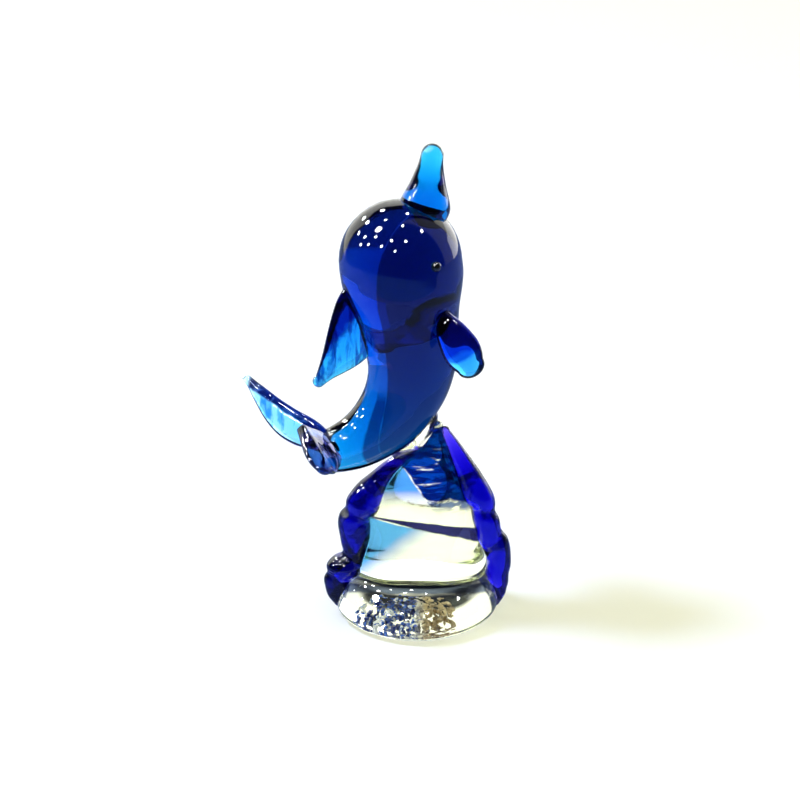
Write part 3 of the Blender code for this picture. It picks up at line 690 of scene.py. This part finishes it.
def flipper_solid(side, sign, place):
    """A side flipper: a round paddle laid back along the chest."""
    outward = Vector((math.cos(FLIPPER_BEARING), sign * math.sin(FLIPPER_BEARING), 0.0))
    root = back_point(FLIPPER_PLACE) + body_radius(FLIPPER_PLACE) * outward
    aim = (FLIPPER_AIM[0], sign * FLIPPER_AIM[1], FLIPPER_AIM[2])
    chord = (FLIPPER_CHORD[0], sign * FLIPPER_CHORD[1], FLIPPER_CHORD[2])
    shape = [
        (-FIN_ROOT_DEPTH / FLIPPER_SPAN, 0.0, 0.42, 0.72),
        (0.0, 0.0, 0.58, 0.95),
        (0.2, 0.0, 0.79, 1.0),
        (0.42, 0.0, 0.93, 0.98),
        (0.64, 0.0, 1.0, 0.92),
        (0.84, 0.0, 0.93, 0.84),
        (1.0, 0.0, 0.76, 0.74),
    ]
    sizes = (FLIPPER_SPAN, 0.0, FLIPPER_HALF_CHORD, FLIPPER_HALF_THICKNESS)
    return blade_solid("flipper_" + side + "_glass", root, aim, chord, shape, sizes, FLIPPER_TIP, place)


def right_fluke_solid(place):
    """The broad right fluke, whose root crosses the end of the tail."""
    back_way = Vector((-math.cos(FLUKE_RISE), 0.0, math.sin(FLUKE_RISE)))
    aim = (0.0, -math.cos(FLUKE_DROOP), -math.sin(FLUKE_DROOP))
    root = bend_point(BEND_END) + back_way * RIGHT_FLUKE_BACKSET
    shape = [
        (-0.12, 0.0, 0.96, 0.9),
        (0.04, 0.0, 1.0, 1.0),
        (0.22, 0.12, 0.98, 0.98),
        (0.42, 0.32, 0.93, 0.88),
        (0.62, 0.58, 0.82, 0.76),
        (0.8, 0.82, 0.64, 0.64),
        (0.92, 0.95, 0.46, 0.52),
        (1.0, 1.0, 0.3, FLUKE_TIP_RADIUS / RIGHT_FLUKE_HALF_THICKNESS),
    ]
    sizes = (RIGHT_FLUKE_SPAN, RIGHT_FLUKE_SWEEP, RIGHT_FLUKE_HALF_CHORD, RIGHT_FLUKE_HALF_THICKNESS)
    mesh = blade_solid("fluke_right_glass", root, aim, back_way, shape, sizes, FLUKE_TIP_RADIUS, place)
    way = Vector(FLUKE_RIDGE_WAY).normalized()
    fold(mesh, Vector(FLUKE_RIDGE_PLACE) * MM, way, FLUKE_RIDGE_HEIGHT, FLUKE_RIDGE_WIDTH)
    return mesh


def left_fluke_solid(place):
    """The long left fluke, twisted on edge and pulled out to a point."""
    aim = Vector(LEFT_FLUKE_AIM).normalized()
    chord = Vector(LEFT_FLUKE_CHORD)
    chord -= aim * chord.dot(aim)
    tip_chord = FLUKE_TIP_RADIUS / LEFT_FLUKE_HALF_CHORD
    tip_thickness = FLUKE_TIP_RADIUS / LEFT_FLUKE_HALF_THICKNESS
    shape = [
        (0.0, 0.0, 0.62, 0.9),
        (0.1, 0.0, 0.82, 1.0),
        (0.24, 0.5, 1.0, 1.0),
        (0.42, 1.0, 0.97, 0.92),
        (0.6, 1.0, 0.8, 0.82),
        (0.78, 0.6, 0.56, 0.7),
        (0.92, 0.2, 0.34, 0.58),
        (1.0, 0.0, tip_chord, tip_thickness),
    ]
    root = bend_point(BEND_END) + LEFT_FLUKE_ROOT
    sizes = (LEFT_FLUKE_SPAN, LEFT_FLUKE_SWEEP, LEFT_FLUKE_HALF_CHORD, LEFT_FLUKE_HALF_THICKNESS)
    return blade_solid("fluke_left_glass", root, aim, chord, shape, sizes, FLUKE_TIP_RADIUS, place)


def drop_solid(place):
    """The clear drop where the long fluke was pulled off."""
    way = Vector(LEFT_FLUKE_AIM).normalized()
    wide = way.orthogonal()
    thin = way.cross(wide)
    start = bend_point(BEND_END) + LEFT_FLUKE_ROOT + way * (LEFT_FLUKE_SPAN + 0.9 * FLUKE_TIP_RADIUS)
    stations = [
        Station(start, wide, thin, 0.8 * DROP_RADIUS, 0.8 * DROP_RADIUS),
        Station(start + way * DROP_RADIUS, wide, thin, DROP_RADIUS, DROP_RADIUS),
    ]
    matrices = ring_matrices(stations, (0.5 * DROP_RADIUS, DROP_RADIUS))
    return loft("fluke_drop_glass", matrices, BEAD_SIDES, place)


# ================================================================ materials
def feed(tree, node, feeds):
    """Feeds a node's inputs, found by name or number, each from a value or a socket."""
    for name, value in feeds.items():
        socket = node.inputs[name]
        if isinstance(value, bpy.types.NodeSocket):
            tree.links.new(value, socket)
        elif socket.type == "RGBA":
            socket.default_value = (*value, 1.0)
        else:
            socket.default_value = value


def add_node(tree, kind, feeds, **settings):
    """Adds a shader node with its settings, and feeds its inputs."""
    node = tree.nodes.new("ShaderNode" + kind)
    for name, value in settings.items():
        setattr(node, name, value)
    feed(tree, node, feeds)
    return node


def sum_of(tree, operation, first, second):
    """One sum of two numbers or sockets."""
    return add_node(tree, "Math", {0: first, 1: second}, operation=operation).outputs[0]


def vector_sum(tree, operation, first, second):
    """One sum of two vectors or sockets."""
    node = add_node(tree, "VectorMath", {0: first, 1: second}, operation=operation)
    return node.outputs["Value" if operation == "DOT_PRODUCT" else "Vector"]


def soft_step(tree, value, low, high):
    """Goes smoothly from 0 to 1 while a value goes from low to high."""
    feeds = {"Value": value, "From Min": low, "From Max": high}
    return add_node(tree, "MapRange", feeds, interpolation_type="SMOOTHSTEP").outputs["Result"]


def mixed(tree, factor, first, second, blend="MIX"):
    """One colour mixed into another. Each is a colour or a socket."""
    node = add_node(tree, "Mix", {0: factor}, data_type="RGBA", blend_type=blend)
    numbers = [number for number, socket in enumerate(node.inputs) if socket.type == "RGBA"]
    feed(tree, node, dict(zip(numbers, (first, second))))
    return next(socket for socket in node.outputs if socket.type == "RGBA")


def colour_ramp(tree, value, stops, interpolation="LINEAR"):
    """The colour at a value, from (value, colour) stops."""
    node = add_node(tree, "ValToRGB", {"Fac": value})
    ramp = node.color_ramp
    ramp.interpolation = interpolation
    for element, (position, colour) in zip(ramp.elements, stops):
        element.position = position
        element.color = (*colour, 1.0)
    for position, colour in stops[2:]:
        ramp.elements.new(position).color = (*colour, 1.0)
    return node.outputs["Color"]


def new_group(name, inputs, outputs):
    """An empty node group with named sockets: the group, what it is given, and its output node."""
    group = bpy.data.node_groups.new(name, "ShaderNodeTree")
    for way, sockets in (("INPUT", inputs), ("OUTPUT", outputs)):
        for socket_name, kind in sockets:
            group.interface.new_socket(socket_name, in_out=way, socket_type="NodeSocket" + kind)
    return group, group.nodes.new("NodeGroupInput").outputs, group.nodes.new("NodeGroupOutput")


def new_material(name, feeds):
    """A material, its node tree and its shader, which is fed that."""
    material = bpy.data.materials.new(name)
    material.use_nodes = True
    tree = material.node_tree
    shader = tree.nodes["Principled BSDF"]
    feed(tree, shader, feeds)
    return material, tree, shader


def place_in(tree):
    """The socket of the place in an object."""
    return add_node(tree, "TexCoord", {}).outputs["Object"]


def absorption(tree, taken):
    """Fills a material with glass that takes that much red, green and blue away per metre."""
    density = max(taken) * 1.02
    colour = tuple(1.0 - part / density for part in taken)
    volume = add_node(tree, "VolumeAbsorption", {"Color": colour, "Density": density})
    feed(tree, tree.nodes["Material Output"], {"Volume": volume.outputs["Volume"]})


class Film:
    """A deeper colour over the part of a gather that lies beyond every one of up to three planes.

    A plane is a point in millimetres, the way beyond it, and how soft its edge is. The edges wander by the
    drift. Streaks are the noise's counts per metre and the share of it that stays bare.
    """

    def __init__(self, colour, *planes, drift=0.0, size=4.0, streaks=(0.0, 0.0, 0.0), bare=-1.0):
        self.colour = colour
        self.planes = list(planes) + [ALL_OVER] * (FILM_PLANES - len(planes))
        self.drift = drift * MM
        self.counts = 1.0 / (size * MM)
        self.streaks = streaks
        self.bare = bare

    def add_to(self, tree, place, before):
        """Lays the film over a colour or a socket, and returns the new colour's socket."""
        feeds = {
            "Place": place, "Colour": before, "Film": self.colour, "Drift": self.drift,
            "Drift Scale": self.counts, "Streaks": self.streaks, "Bare": self.bare,
        }
        for number, (middle, way, softness) in enumerate(self.planes):
            feeds[f"Middle {number}"] = Vector(middle) * MM
            feeds[f"Way {number}"] = Vector(way).normalized()
            feeds[f"Softness {number}"] = softness * MM
        return add_node(tree, "Group", feeds, node_tree=film_group()).outputs["Colour"]


def film_group():
    """The node group of a film, made once."""
    if "glass_film" in bpy.data.node_groups:
        return bpy.data.node_groups["glass_film"]
    sockets = [("Place", "Vector"), ("Colour", "Color"), ("Film", "Color")]
    for number in range(FILM_PLANES):
        sockets += [(f"Middle {number}", "Vector"), (f"Way {number}", "Vector")]
        sockets += [(f"Softness {number}", "Float")]
    sockets += [("Drift", "Float"), ("Drift Scale", "Float"), ("Streaks", "Vector"), ("Bare", "Float")]
    group, given, made = new_group("glass_film", sockets, [("Colour", "Color")])
    wander = add_node(group, "TexNoise", {"Vector": given["Place"], "Scale": given["Drift Scale"]})
    centred = sum_of(group, "SUBTRACT", wander.outputs["Fac"], 0.5)
    drifted = sum_of(group, "MULTIPLY", sum_of(group, "MULTIPLY", centred, EDGE_WANDER), given["Drift"])
    share = None
    for number in range(FILM_PLANES):
        away = vector_sum(group, "SUBTRACT", given["Place"], given[f"Middle {number}"])
        beyond = vector_sum(group, "DOT_PRODUCT", away, given[f"Way {number}"])
        softness = given[f"Softness {number}"]
        short_of = sum_of(group, "MULTIPLY", softness, -1.0)
        edge = soft_step(group, sum_of(group, "ADD", beyond, drifted), short_of, softness)
        share = edge if share is None else sum_of(group, "MULTIPLY", share, edge)
    stretched = vector_sum(group, "MULTIPLY", given["Place"], given["Streaks"])
    feeds = {"Vector": stretched, "Scale": 1.0, "Detail": 3.0, "Distortion": 0.6}
    streak = add_node(group, "TexNoise", feeds)
    full = sum_of(group, "ADD", given["Bare"], STREAK_SOFTNESS)
    share = sum_of(group, "MULTIPLY", share, soft_step(group, streak.outputs["Fac"], given["Bare"], full))
    feed(group, made, {"Colour": mixed(group, share, given["Colour"], given["Film"], "MULTIPLY")})
    return group


def ripple_group():
    """The node group of the ripples that the flame leaves in a skin, made once."""
    if "flame_ripples" in bpy.data.node_groups:
        return bpy.data.node_groups["flame_ripples"]
    inputs = [("Place", "Vector"), ("Scale", "Float"), ("Low", "Float"), ("High", "Float")]
    group, given, made = new_group("flame_ripples", inputs, [("Height", "Float"), ("Roughness", "Float")])
    feeds = {"Vector": given["Place"], "Scale": given["Scale"], "Detail": 1.5}
    height = add_node(group, "TexNoise", feeds).outputs["Fac"]
    feeds = {"Value": height, "To Min": given["Low"], "To Max": given["High"]}
    polish = add_node(group, "MapRange", feeds)
    feed(group, made, {"Height": height, "Roughness": polish.outputs["Result"]})
    return group


def add_ripples(tree, place, shader, size, depth, roughness):
    """Gives a skin its ripples: their size and depth, and a polish that varies with them."""
    feeds = {"Place": place, "Scale": 1.0 / size, "Low": 0.6 * roughness, "High": 1.4 * roughness}
    ripples = add_node(tree, "Group", feeds, node_tree=ripple_group())
    bump = add_node(tree, "Bump", {"Distance": depth, "Height": ripples.outputs["Height"]})
    feed(tree, shader, {"Normal": bump.outputs["Normal"], "Roughness": ripples.outputs["Roughness"]})


def glass(name, taken, unevenness, films=()):
    """Solid glass with a fire-polished skin."""
    feeds = {"Transmission Weight": 1.0, "IOR": GLASS_IOR}
    material, tree, shader = new_material(name, feeds)
    absorption(tree, taken)
    place = place_in(tree)
    colour = WHITE
    # the films tint the skin; on the rock and the body some of them are painted refraction and painted
    # shade
    for film in films:
        colour = film.add_to(tree, place, colour)
    feed(tree, shader, {"Base Color": colour})
    size, depth = unevenness
    add_ripples(tree, place, shader, size, depth, SKIN_ROUGHNESS)
    return material


def melted_joint(name, taken):
    """Where two gathers have melted together, light goes straight on from one into the other."""
    feeds = {"Base Color": WHITE, "Roughness": 0.0, "Transmission Weight": 1.0, "IOR": 1.0}
    material, tree, _ = new_material(name, feeds)
    absorption(tree, taken)
    return material


def opaque_glass(name, colour, roughness):
    """Opaque glass for the eyes."""
    feeds = {"Base Color": colour, "Coat Weight": 1.0, "Coat Roughness": 0.02}
    material, tree, shader = new_material(name, feeds)
    add_ripples(tree, place_in(tree), shader, 0.8 * MM, 0.01 * MM, roughness)
    return material


# ================================================================ the pieces
def linked(name, data):
    """An object in the scene."""
    obj = bpy.data.objects.new(name, data)
    bpy.context.scene.collection.objects.link(obj)
    return obj


def add_piece(name, mesh, node, outside, joint):
    """Adds a finished mesh as the piece that stands for a CAD node."""
    mesh.materials.clear()
    for material in (outside, joint):
        mesh.materials.append(material)
    bm = bmesh.new()
    bm.from_mesh(mesh)
    for edge in bm.edges:
        slots = {face.material_index for face in edge.link_faces}
        edge.smooth = len(slots) < 2
    bm.to_mesh(mesh)
    bm.free()
    obj = linked(name, mesh)
    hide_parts(node)
    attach(obj, "root")


def scattered(name, places, sizes, flatness, seed):
    """Small closed lumps, each turned its own way."""
    turns = random.Random(seed)
    bm = bmesh.new()
    for place, size in zip(places, sizes):
        turn = Matrix.Rotation(turns.uniform(0.0, math.tau), 4, "Z")
        tilt = Matrix.Rotation(turns.uniform(-CHIP_TILT, CHIP_TILT), 4, "X")
        squash = Matrix.Diagonal((size, size * turns.uniform(0.55, 1.0), size * flatness, 1.0))
        matrix = Matrix.Translation(place) @ turn @ tilt @ squash
        bmesh.ops.create_icosphere(bm, subdivisions=1, radius=1.0, matrix=matrix)
    for vert in bm.verts:
        vert.co += Vector([turns.uniform(-1.0, 1.0) for _ in range(3)]) * CHIP_ROUGHNESS
    mesh = finished(name, bm)
    mesh.shade_flat()
    return mesh


def chip_material():
    """Bright and dark chips of glass, sandier towards the right."""
    material, tree, shader = new_material("pontil_chips", {"Roughness": 0.25, "Coat Weight": 0.0})
    place = place_in(tree)
    parts = add_node(tree, "SeparateXYZ", {0: place})
    feeds = {"Vector": place, "Scale": CHIP_SPECKLE, "Detail": 3.0}
    speckle = add_node(tree, "TexNoise", feeds).outputs["Fac"]
    chips = colour_ramp(tree, speckle, CHIP_COLOURS, "CONSTANT")
    sand = colour_ramp(tree, speckle, SAND_COLOURS)
    feeds = {"Value": parts.outputs["X"], "From Min": SAND_EDGE[0], "From Max": SAND_EDGE[1]}
    sandy = add_node(tree, "MapRange", feeds).outputs["Result"]
    feed(tree, shader, {"Base Color": mixed(tree, sandy, chips, sand)})
    return material


def add_pontil_mark():
    """The rough, crackled scar under the foot, seen through the rock as bright and dark chips."""
    places, sizes = [], []
    chances = random.Random(11)
    while len(places) < PONTIL_CHIPS:
        across, along = chances.uniform(-1.0, 1.0), chances.uniform(-1.0, 1.0)
        if across**2 + along**2 < 1.0:
            height = chances.uniform(*CHIP_HEIGHTS) * MM
            x = PONTIL_PLACE[0] + PONTIL_REACH[0] * across
            y = PONTIL_PLACE[1] + PONTIL_REACH[1] * along
            places.append(Vector((x, y, height)))
            sizes.append(chances.uniform(*CHIP_SIZES) * MM)
    mesh = scattered("pontil_mark", places, sizes, CHIP_FLATNESS, 5)
    mesh.materials.clear()
    mesh.materials.append(chip_material())
    obj = linked("pontil_mark", mesh)
    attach(obj, "root")


def other_side(plane):
    """A film's plane, turned to the other side."""
    middle, way, softness = plane
    return middle, tuple(-part for part in way), softness


def level(height, softness):
    """A film's plane that is level to the camera, with the film above it."""
    return (0.0, 0.0, height), CAMERA_UP, softness


def rock_painted_refraction_and_shade():
    """Painted refraction and painted shade in the rock's front: cobalt streaks and two azure patches that
    paint the blue gathers as seen through the clear glass, a dark painted band, and the foot's painted
    shade.
    """
    streak_side = ((-3.07, 0.0, 38.4), (0.824, 0.212, 0.526), 0.3)
    band_top = ((-9.97, 0.0, 25.5), (-0.121, -0.37, -0.92), 0.15)
    band_bottom = ((-9.97, 0.0, 24.7), (0.221, 0.365, 0.904), 0.25)
    under_band = ((-9.97, 0.0, 24.7), (-0.221, -0.365, -0.904), 0.15)
    patch_end = ((-0.5, 0.0, 18.8), (-0.6, 0.3, 0.74), 3.6)
    return [
        # painted refraction: cobalt streaks where the blue gathers show through the rock's top
        Film((0.0, 0.001, 0.1), level(29.5, 0.6), streak_side, FRONT,
             drift=0.5, size=3.0, streaks=(90.0, 90.0, 520.0), bare=0.3),
        Film((0.02, 0.04, 0.2), level(27.0, 1.2), streak_side, FRONT,
             drift=0.4, size=2.0, streaks=(200.0, 200.0, 1100.0), bare=0.42),
        # painted refraction: an azure patch beside the streaks
        Film((0.003, 0.06, 0.52), level(29.4, 3.0), other_side(streak_side), FRONT, drift=0.3, size=9.0),
        # painted shade: a near-black band across the rock's front
        Film((0.0006, 0.0006, 0.02), band_top, band_bottom, FRONT, drift=0.25, size=6.0),
        # painted refraction: an azure patch under the band
        Film((0.008, 0.12, 0.65), under_band, patch_end, FRONT, drift=0.3, size=8.0),
        # painted shade over the top of the foot
        Film((0.03, 0.045, 0.1), other_side(level(7.6, 0.2)), level(5.1, 0.4), FRONT,
             drift=0.35, size=5.0),
    ]


def body_colour_and_painted_shade():
    """Navy over the belly's side, partly the glass's own colour and partly painted shade, with painted
    shade darkening the bend and the crown.
    """
    navy = ((-8.5, -13.9, 92.0), (0.75, -0.66, -0.07), 0.25)
    bend = ((-11.8, -9.0, 47.8), (0.75, -0.66, -0.07), 0.3)
    below_waist = ((0.0, 0.0, 61.0), (0.0, 0.0, -1.0), 2.5)
    return [
        # navy over the belly's side: partly the glass's own colour, partly painted shade
        Film((0.02, 0.06, 0.1), navy, drift=0.25, size=9.0),
        # painted shade in the bend
        Film((0.03, 0.07, 0.14), bend, below_waist, other_side(navy), drift=0.25, size=9.0),
        # painted shade over the crown's front
        Film((0.1, 0.12, 0.15), level(93.5, 0.8), other_side(navy), FRONT, drift=0.3, size=9.0),
    ]


def films_and_painted_light():
    """The deeper colours over each gather. Those of the fins, flukes and trails drifted through the glass
    while it was hot; those of the rock are painted refraction and painted shade, and the body's are partly
    painted shade.
    """
    fin_edge = ((-20.2, 0.0, 71.5), (-0.8, 0.0, 0.6), 1.0)
    flipper_top = ((9.5, -12.0, 72.0), (-0.36, -0.1, 0.93), 0.5)
    long_fluke_top = ((-32.0, 0.0, 53.0), (0.57, 0.3, 0.76), 0.3)
    short_of_tip = ((-40.6, 0.0, 0.0), (1.0, 0.0, 0.0), 0.6)
    beyond_ridge = (FLUKE_RIDGE_PLACE, FLUKE_RIDGE_WAY, 0.3)
    return {
        "rock": rock_painted_refraction_and_shade(),
        "dolphin_body": body_colour_and_painted_shade(),
        "trail_left": [Film((0.0, 0.0, 0.12), streaks=(120.0, 120.0, 170.0), bare=0.5)],
        "trail_right": [Film((0.0, 0.0, 0.12), streaks=(120.0, 120.0, 160.0), bare=0.52)],
        "dorsal_fin": [
            Film((0.012, 0.04, 0.35), fin_edge, FRONT, drift=0.9, size=2.0),
            Film((0.01, 0.05, 0.25), FRONT, streaks=(420.0, 200.0, 90.0), bare=0.5),
        ],
        "flipper_right": [Film((0.02, 0.08, 0.6), flipper_top, drift=0.5, size=5.0)],
        "fluke_left": [
            Film((0.002, 0.01, 0.1), long_fluke_top, short_of_tip,
                 drift=0.35, size=3.0, streaks=(160.0, 160.0, 300.0), bare=0.3),
            Film((0.1, 0.35, 0.75), streaks=(420.0, 150.0, 160.0), bare=0.52),
        ],
        "fluke_right": [
            Film((0.2, 0.17, 0.4), beyond_ridge, drift=0.1, size=5.0),
            Film((0.6, 0.62, 0.8), streaks=(200.0, 200.0, 120.0), bare=0.5),
        ],
    }


def make_solids(place):
    """Every gather of glass, whole, before it melts into its neighbours."""
    solids = {
        "rock": rock_solid(),
        "weld": weld_solid(place),
        "trail_left": trail_solid("left"),
        "trail_right": trail_solid("right"),
        "dolphin_body": body_solid(place),
        "beak": beak_solid(place),
        "dorsal_fin": dorsal_solid(place),
        "flipper_right": flipper_solid("right", -1.0, place),
        "flipper_left": flipper_solid("left", 1.0, place),
        "fluke_right": right_fluke_solid(place),
        "fluke_left": left_fluke_solid(place),
        "fluke_drop": drop_solid(place),
    }
    for seed, name in enumerate(("rock", "trail_left", "trail_right", "dolphin_body")):
        hand_worked(solids[name], HAND_DEPTH, HAND_SIZE, seed)
    return solids


# the gathers that each one sinks into
CARRIERS = {
    "weld": ["rock"],
    "trail_left": ["rock"],
    "trail_right": ["weld", "rock"],
    "dolphin_body": ["weld", "rock", "trail_right", "trail_left"],
    "beak": ["dolphin_body"],
    "dorsal_fin": ["dolphin_body"],
    "flipper_right": ["dolphin_body"],
    "flipper_left": ["dolphin_body"],
    "fluke_right": ["dolphin_body", "fluke_left"],
    "fluke_left": ["dolphin_body"],
    "fluke_drop": ["fluke_left"],
}
# each gather's slot, what its glass takes away, and the size and depth of its ripples in millimetres
LOOKS = {
    "rock": ("clear_glass", CLEAR, 9.0, 0.05),
    "weld": ("clear_glass", CLEAR, 3.0, 0.02),
    "fluke_drop": ("clear_glass", PALE_AZURE, 1.0, 0.01),
    "trail_left": ("cobalt_glass", COBALT, 3.0, 0.06),
    "trail_right": ("cobalt_glass", COBALT, 3.0, 0.06),
    "dolphin_body": ("deep_blue_glass", DEEP_BLUE, 6.0, 0.01),
    "beak": ("azure_glass", AZURE, 3.0, 0.02),
    "dorsal_fin": ("azure_glass", FIN_BLUE, 2.0, 0.07),
    "flipper_right": ("azure_glass", FLIPPER_BLUE, 3.0, 0.02),
    "flipper_left": ("azure_glass", FAR_FLIPPER_BLUE, 3.0, 0.02),
    "fluke_left": ("azure_glass", FLUKE_BLUE, 2.0, 0.07),
    "fluke_right": ("smoke_glass", SMOKE, 3.0, 0.05),
}


def add_gathers(place):
    """The gathers of glass, melted into their neighbours."""
    solids = make_solids(place)
    films = films_and_painted_light()
    for name, solid in solids.items():
        mesh = solid.copy()
        mesh.name = solid.name
        for guest, its_carriers in CARRIERS.items():
            if name in its_carriers:
                mesh = cut_back(mesh, solids[guest])
        for carrier in CARRIERS.get(name, []):
            mesh = marked_inside(mesh, solids[carrier])
        slot_name, taken, size, depth = LOOKS[name]
        outside = glass(name + "_skin", taken, (size * MM, depth * MM), films.get(name, ()))
        joint = melted_joint(name + "_joint", taken)
        add_piece(name + "_glass", mesh, name, outside, joint)


def add_eyes(place):
    """The white and black beads of both eyes."""
    white = opaque_glass("eye_white", (0.6, 0.62, 0.6), 0.1)
    black = opaque_glass("eye_black", (0.004, 0.004, 0.004), 0.05)
    for side, sign in (("right", -1.0), ("left", 1.0)):
        normal = eye_skin(sign).normalized()
        name = "eye_" + side + "_bead"
        centre = eye_skin(sign) - normal * EYE_SINK
        eye = bead_solid(name, centre, normal, EYE_RADIUS, EYE_HALF_THICKNESS, place)
        add_piece(name, eye, "eye_" + side, white, white)
        name = "pupil_" + side + "_bead"
        centre = pupil_centre(sign) + normal * PUPIL_LIFT
        pupil = bead_solid(name, centre, normal, PUPIL_RADIUS, PUPIL_HALF_THICKNESS, place)
        add_piece(name, pupil, "pupil_" + side, black, black)


# ================================================================ studio
def staged(name, bm, material):
    """A piece of the studio, which isn't part of the figure."""
    mesh = bpy.data.meshes.new(name)
    bm.to_mesh(mesh)
    bm.free()
    mesh.materials.append(material)
    obj = linked(name, mesh)
    return obj


def panel(name, corner, across, up, strength):
    """A glowing sheet that the glass sees and the camera doesn't."""
    bm = bmesh.new()
    bmesh.ops.create_grid(bm, x_segments=1, y_segments=1, size=0.5)
    bmesh.ops.translate(bm, vec=(0.5, 0.5, 0.0), verts=bm.verts[:])
    across, up, corner = Vector(across), Vector(up), Vector(corner)
    normal = across.cross(up).normalized()
    rows = [[column[axis] for column in (across, up, normal, corner)] for axis in range(3)]
    bmesh.ops.transform(bm, matrix=Matrix((*rows, (0, 0, 0, 1))), verts=bm.verts[:])
    material, tree, _ = new_material(name, {})
    glow = add_node(tree, "Emission", {"Color": strength})
    feed(tree, tree.nodes["Material Output"], {"Surface": glow.outputs[0]})
    obj = staged(name, bm, material)
    obj.visible_camera = False
    obj.visible_diffuse = False
    obj.visible_shadow = False


def lamp(name, head, place, radius, radiance, colour, lights_floor):
    """A round lamp that faces the head. It either lights the floor or shows as a glint."""
    way = Vector((place[0], place[1], LAMP_HEIGHT)).normalized()
    data = bpy.data.lights.new(name, "AREA")
    data.shape = "DISK"
    data.size = 2 * radius
    data.energy = radiance * math.pi * math.pi * radius**2
    data.color = colour
    obj = linked(name, data)
    obj.location = head + way * LAMP_DISTANCE
    obj.rotation_euler = way.to_track_quat("Z", "Y").to_euler()
    obj.visible_diffuse = lights_floor
    obj.visible_glossy = not lights_floor
    obj.visible_transmission = False
    obj.visible_camera = False


def make_floor():
    """A white table top, brighter to the glass than to the camera, and dimmer where a skin mirrors it."""
    bm = bmesh.new()
    bmesh.ops.create_grid(bm, x_segments=2, y_segments=2, size=0.5)
    bmesh.ops.scale(bm, vec=TABLE_SIZE, verts=bm.verts[:])
    bmesh.ops.translate(bm, vec=TABLE_PLACE, verts=bm.verts[:])
    feeds = {"Roughness": 0.7, "Specular IOR Level": 0.0, "Emission Color": TABLE_GLOW}
    material, tree, shader = new_material("white_table", feeds)
    path = add_node(tree, "LightPath", {}).outputs
    feeds = {0: path["Is Camera Ray"], 1: -TABLE_LIFT, 2: TABLE_LIFT}
    lift = add_node(tree, "Math", feeds, operation="MULTIPLY_ADD")
    feeds = {0: path["Is Reflection Ray"], 1: -TABLE_LIFT, 2: lift.outputs[0]}
    glow = add_node(tree, "Math", feeds, operation="MULTIPLY_ADD", use_clamp=True)
    colour = mixed(tree, path["Is Reflection Ray"], TABLE_WHITE, TABLE_IN_SKINS)
    feed(tree, shader, {"Emission Strength": glow.outputs[0], "Base Color": colour})
    material.cycles.emission_sampling = "NONE"
    staged("table_top", bm, material)


def above(tree, component, elevation):
    """Goes from 0 to 1 where a direction's component passes the sine of an elevation in degrees."""
    low = math.sin(math.radians(elevation - ROOM_SOFTNESS))
    high = math.sin(math.radians(elevation + ROOM_SOFTNESS))
    return soft_step(tree, component, low, high)


def make_world():
    """White around the table for the camera and the table itself, and a room for the glass."""
    world = bpy.data.worlds.new("room")
    bpy.context.scene.world = world
    world.use_nodes = True
    tree = world.node_tree
    way = add_node(tree, "TexCoord", {}).outputs["Generated"]
    x, y, z = add_node(tree, "SeparateXYZ", {0: way}).outputs
    sideways = sum_of(tree, "MULTIPLY", sum_of(tree, "ABSOLUTE", x, 0.0), SIDE_SHARE)
    ahead = above(tree, sum_of(tree, "SUBTRACT", y, sideways), 0.0)
    back = mixed(tree, above(tree, z, BACK_WALL_TOP), BACK_WALL, ROOM)
    side = mixed(tree, above(tree, x, 0.0), LEFT_SIDE, RIGHT_SIDE)
    leaning = sum_of(tree, "ADD", z, sum_of(tree, "MULTIPLY", x, FRONT_EDGE_LEAN))
    front = mixed(tree, above(tree, leaning, FRONT_TABLE_EDGE), FRONT_TABLE, ROOM)
    before_back = mixed(tree, above(tree, y, 0.0), front, side)
    seen_by_glass = mixed(tree, ahead, before_back, back)
    path = add_node(tree, "LightPath", {}).outputs
    after_table = sum_of(tree, "MINIMUM", path["Diffuse Depth"], 1.0)
    colour = mixed(tree, after_table, seen_by_glass, TABLE_LIGHT)
    colour = mixed(tree, path["Is Camera Ray"], colour, DAYLIGHT)
    feed(tree, tree.nodes["Background"], {"Color": colour})


def make_studio(head):
    """The table, the lamps, and a bright window behind to the right."""
    make_floor()
    make_world()
    for index, place in enumerate(LAMP_PLACES):
        lamp(f"lamp_{index:02d}", head, place, LAMP_RADIUS, LAMP_RADIANCE, WHITE, False)
    lamp("key_glint", head, KEY_PLACE, GLINT_RADIUS, GLINT_RADIANCE, WHITE, False)
    lamp("key_lamp", head, KEY_PLACE, KEY_RADIUS, KEY_RADIANCE, KEY_COLOUR, True)
    panel("right_window", WINDOW_CORNER, WINDOW_ACROSS, WINDOW_UP, WINDOW_STRENGTH)


def make_camera():
    """The camera, slightly above the figure."""
    back = Vector((0.0, -math.cos(CAMERA_ELEVATION), math.sin(CAMERA_ELEVATION)))
    data = bpy.data.cameras.new("camera")
    data.lens = CAMERA_LENS
    data.sensor_width = CAMERA_SENSOR
    data.clip_start = 0.05
    data.clip_end = 20.0
    camera = linked("camera", data)
    camera.location = CAMERA_TARGET + back * CAMERA_DISTANCE
    camera.rotation_euler = back.to_track_quat("Z", "Y").to_euler()
    bpy.context.scene.camera = camera


def set_light_paths():
    """Enough bounces for light to cross several gathers of glass."""
    scene = bpy.context.scene
    scene.view_settings.view_transform = "Standard"
    scene.cycles.max_bounces = 32
    scene.cycles.transmission_bounces = 32
    scene.cycles.glossy_bounces = 12
    scene.cycles.caustics_refractive = True
    scene.cycles.caustics_reflective = False


dolphin_turn = Matrix.Rotation(DOLPHIN_TURN, 4, "Z")
head_centre = centre_of("pupil_right") - dolphin_turn @ pupil_centre(-1.0)
dolphin_place = Matrix.Translation(head_centre) @ dolphin_turn
add_gathers(dolphin_place)
add_eyes(dolphin_place)
add_pontil_mark()
make_studio(head_centre)
make_camera()
set_light_paths()
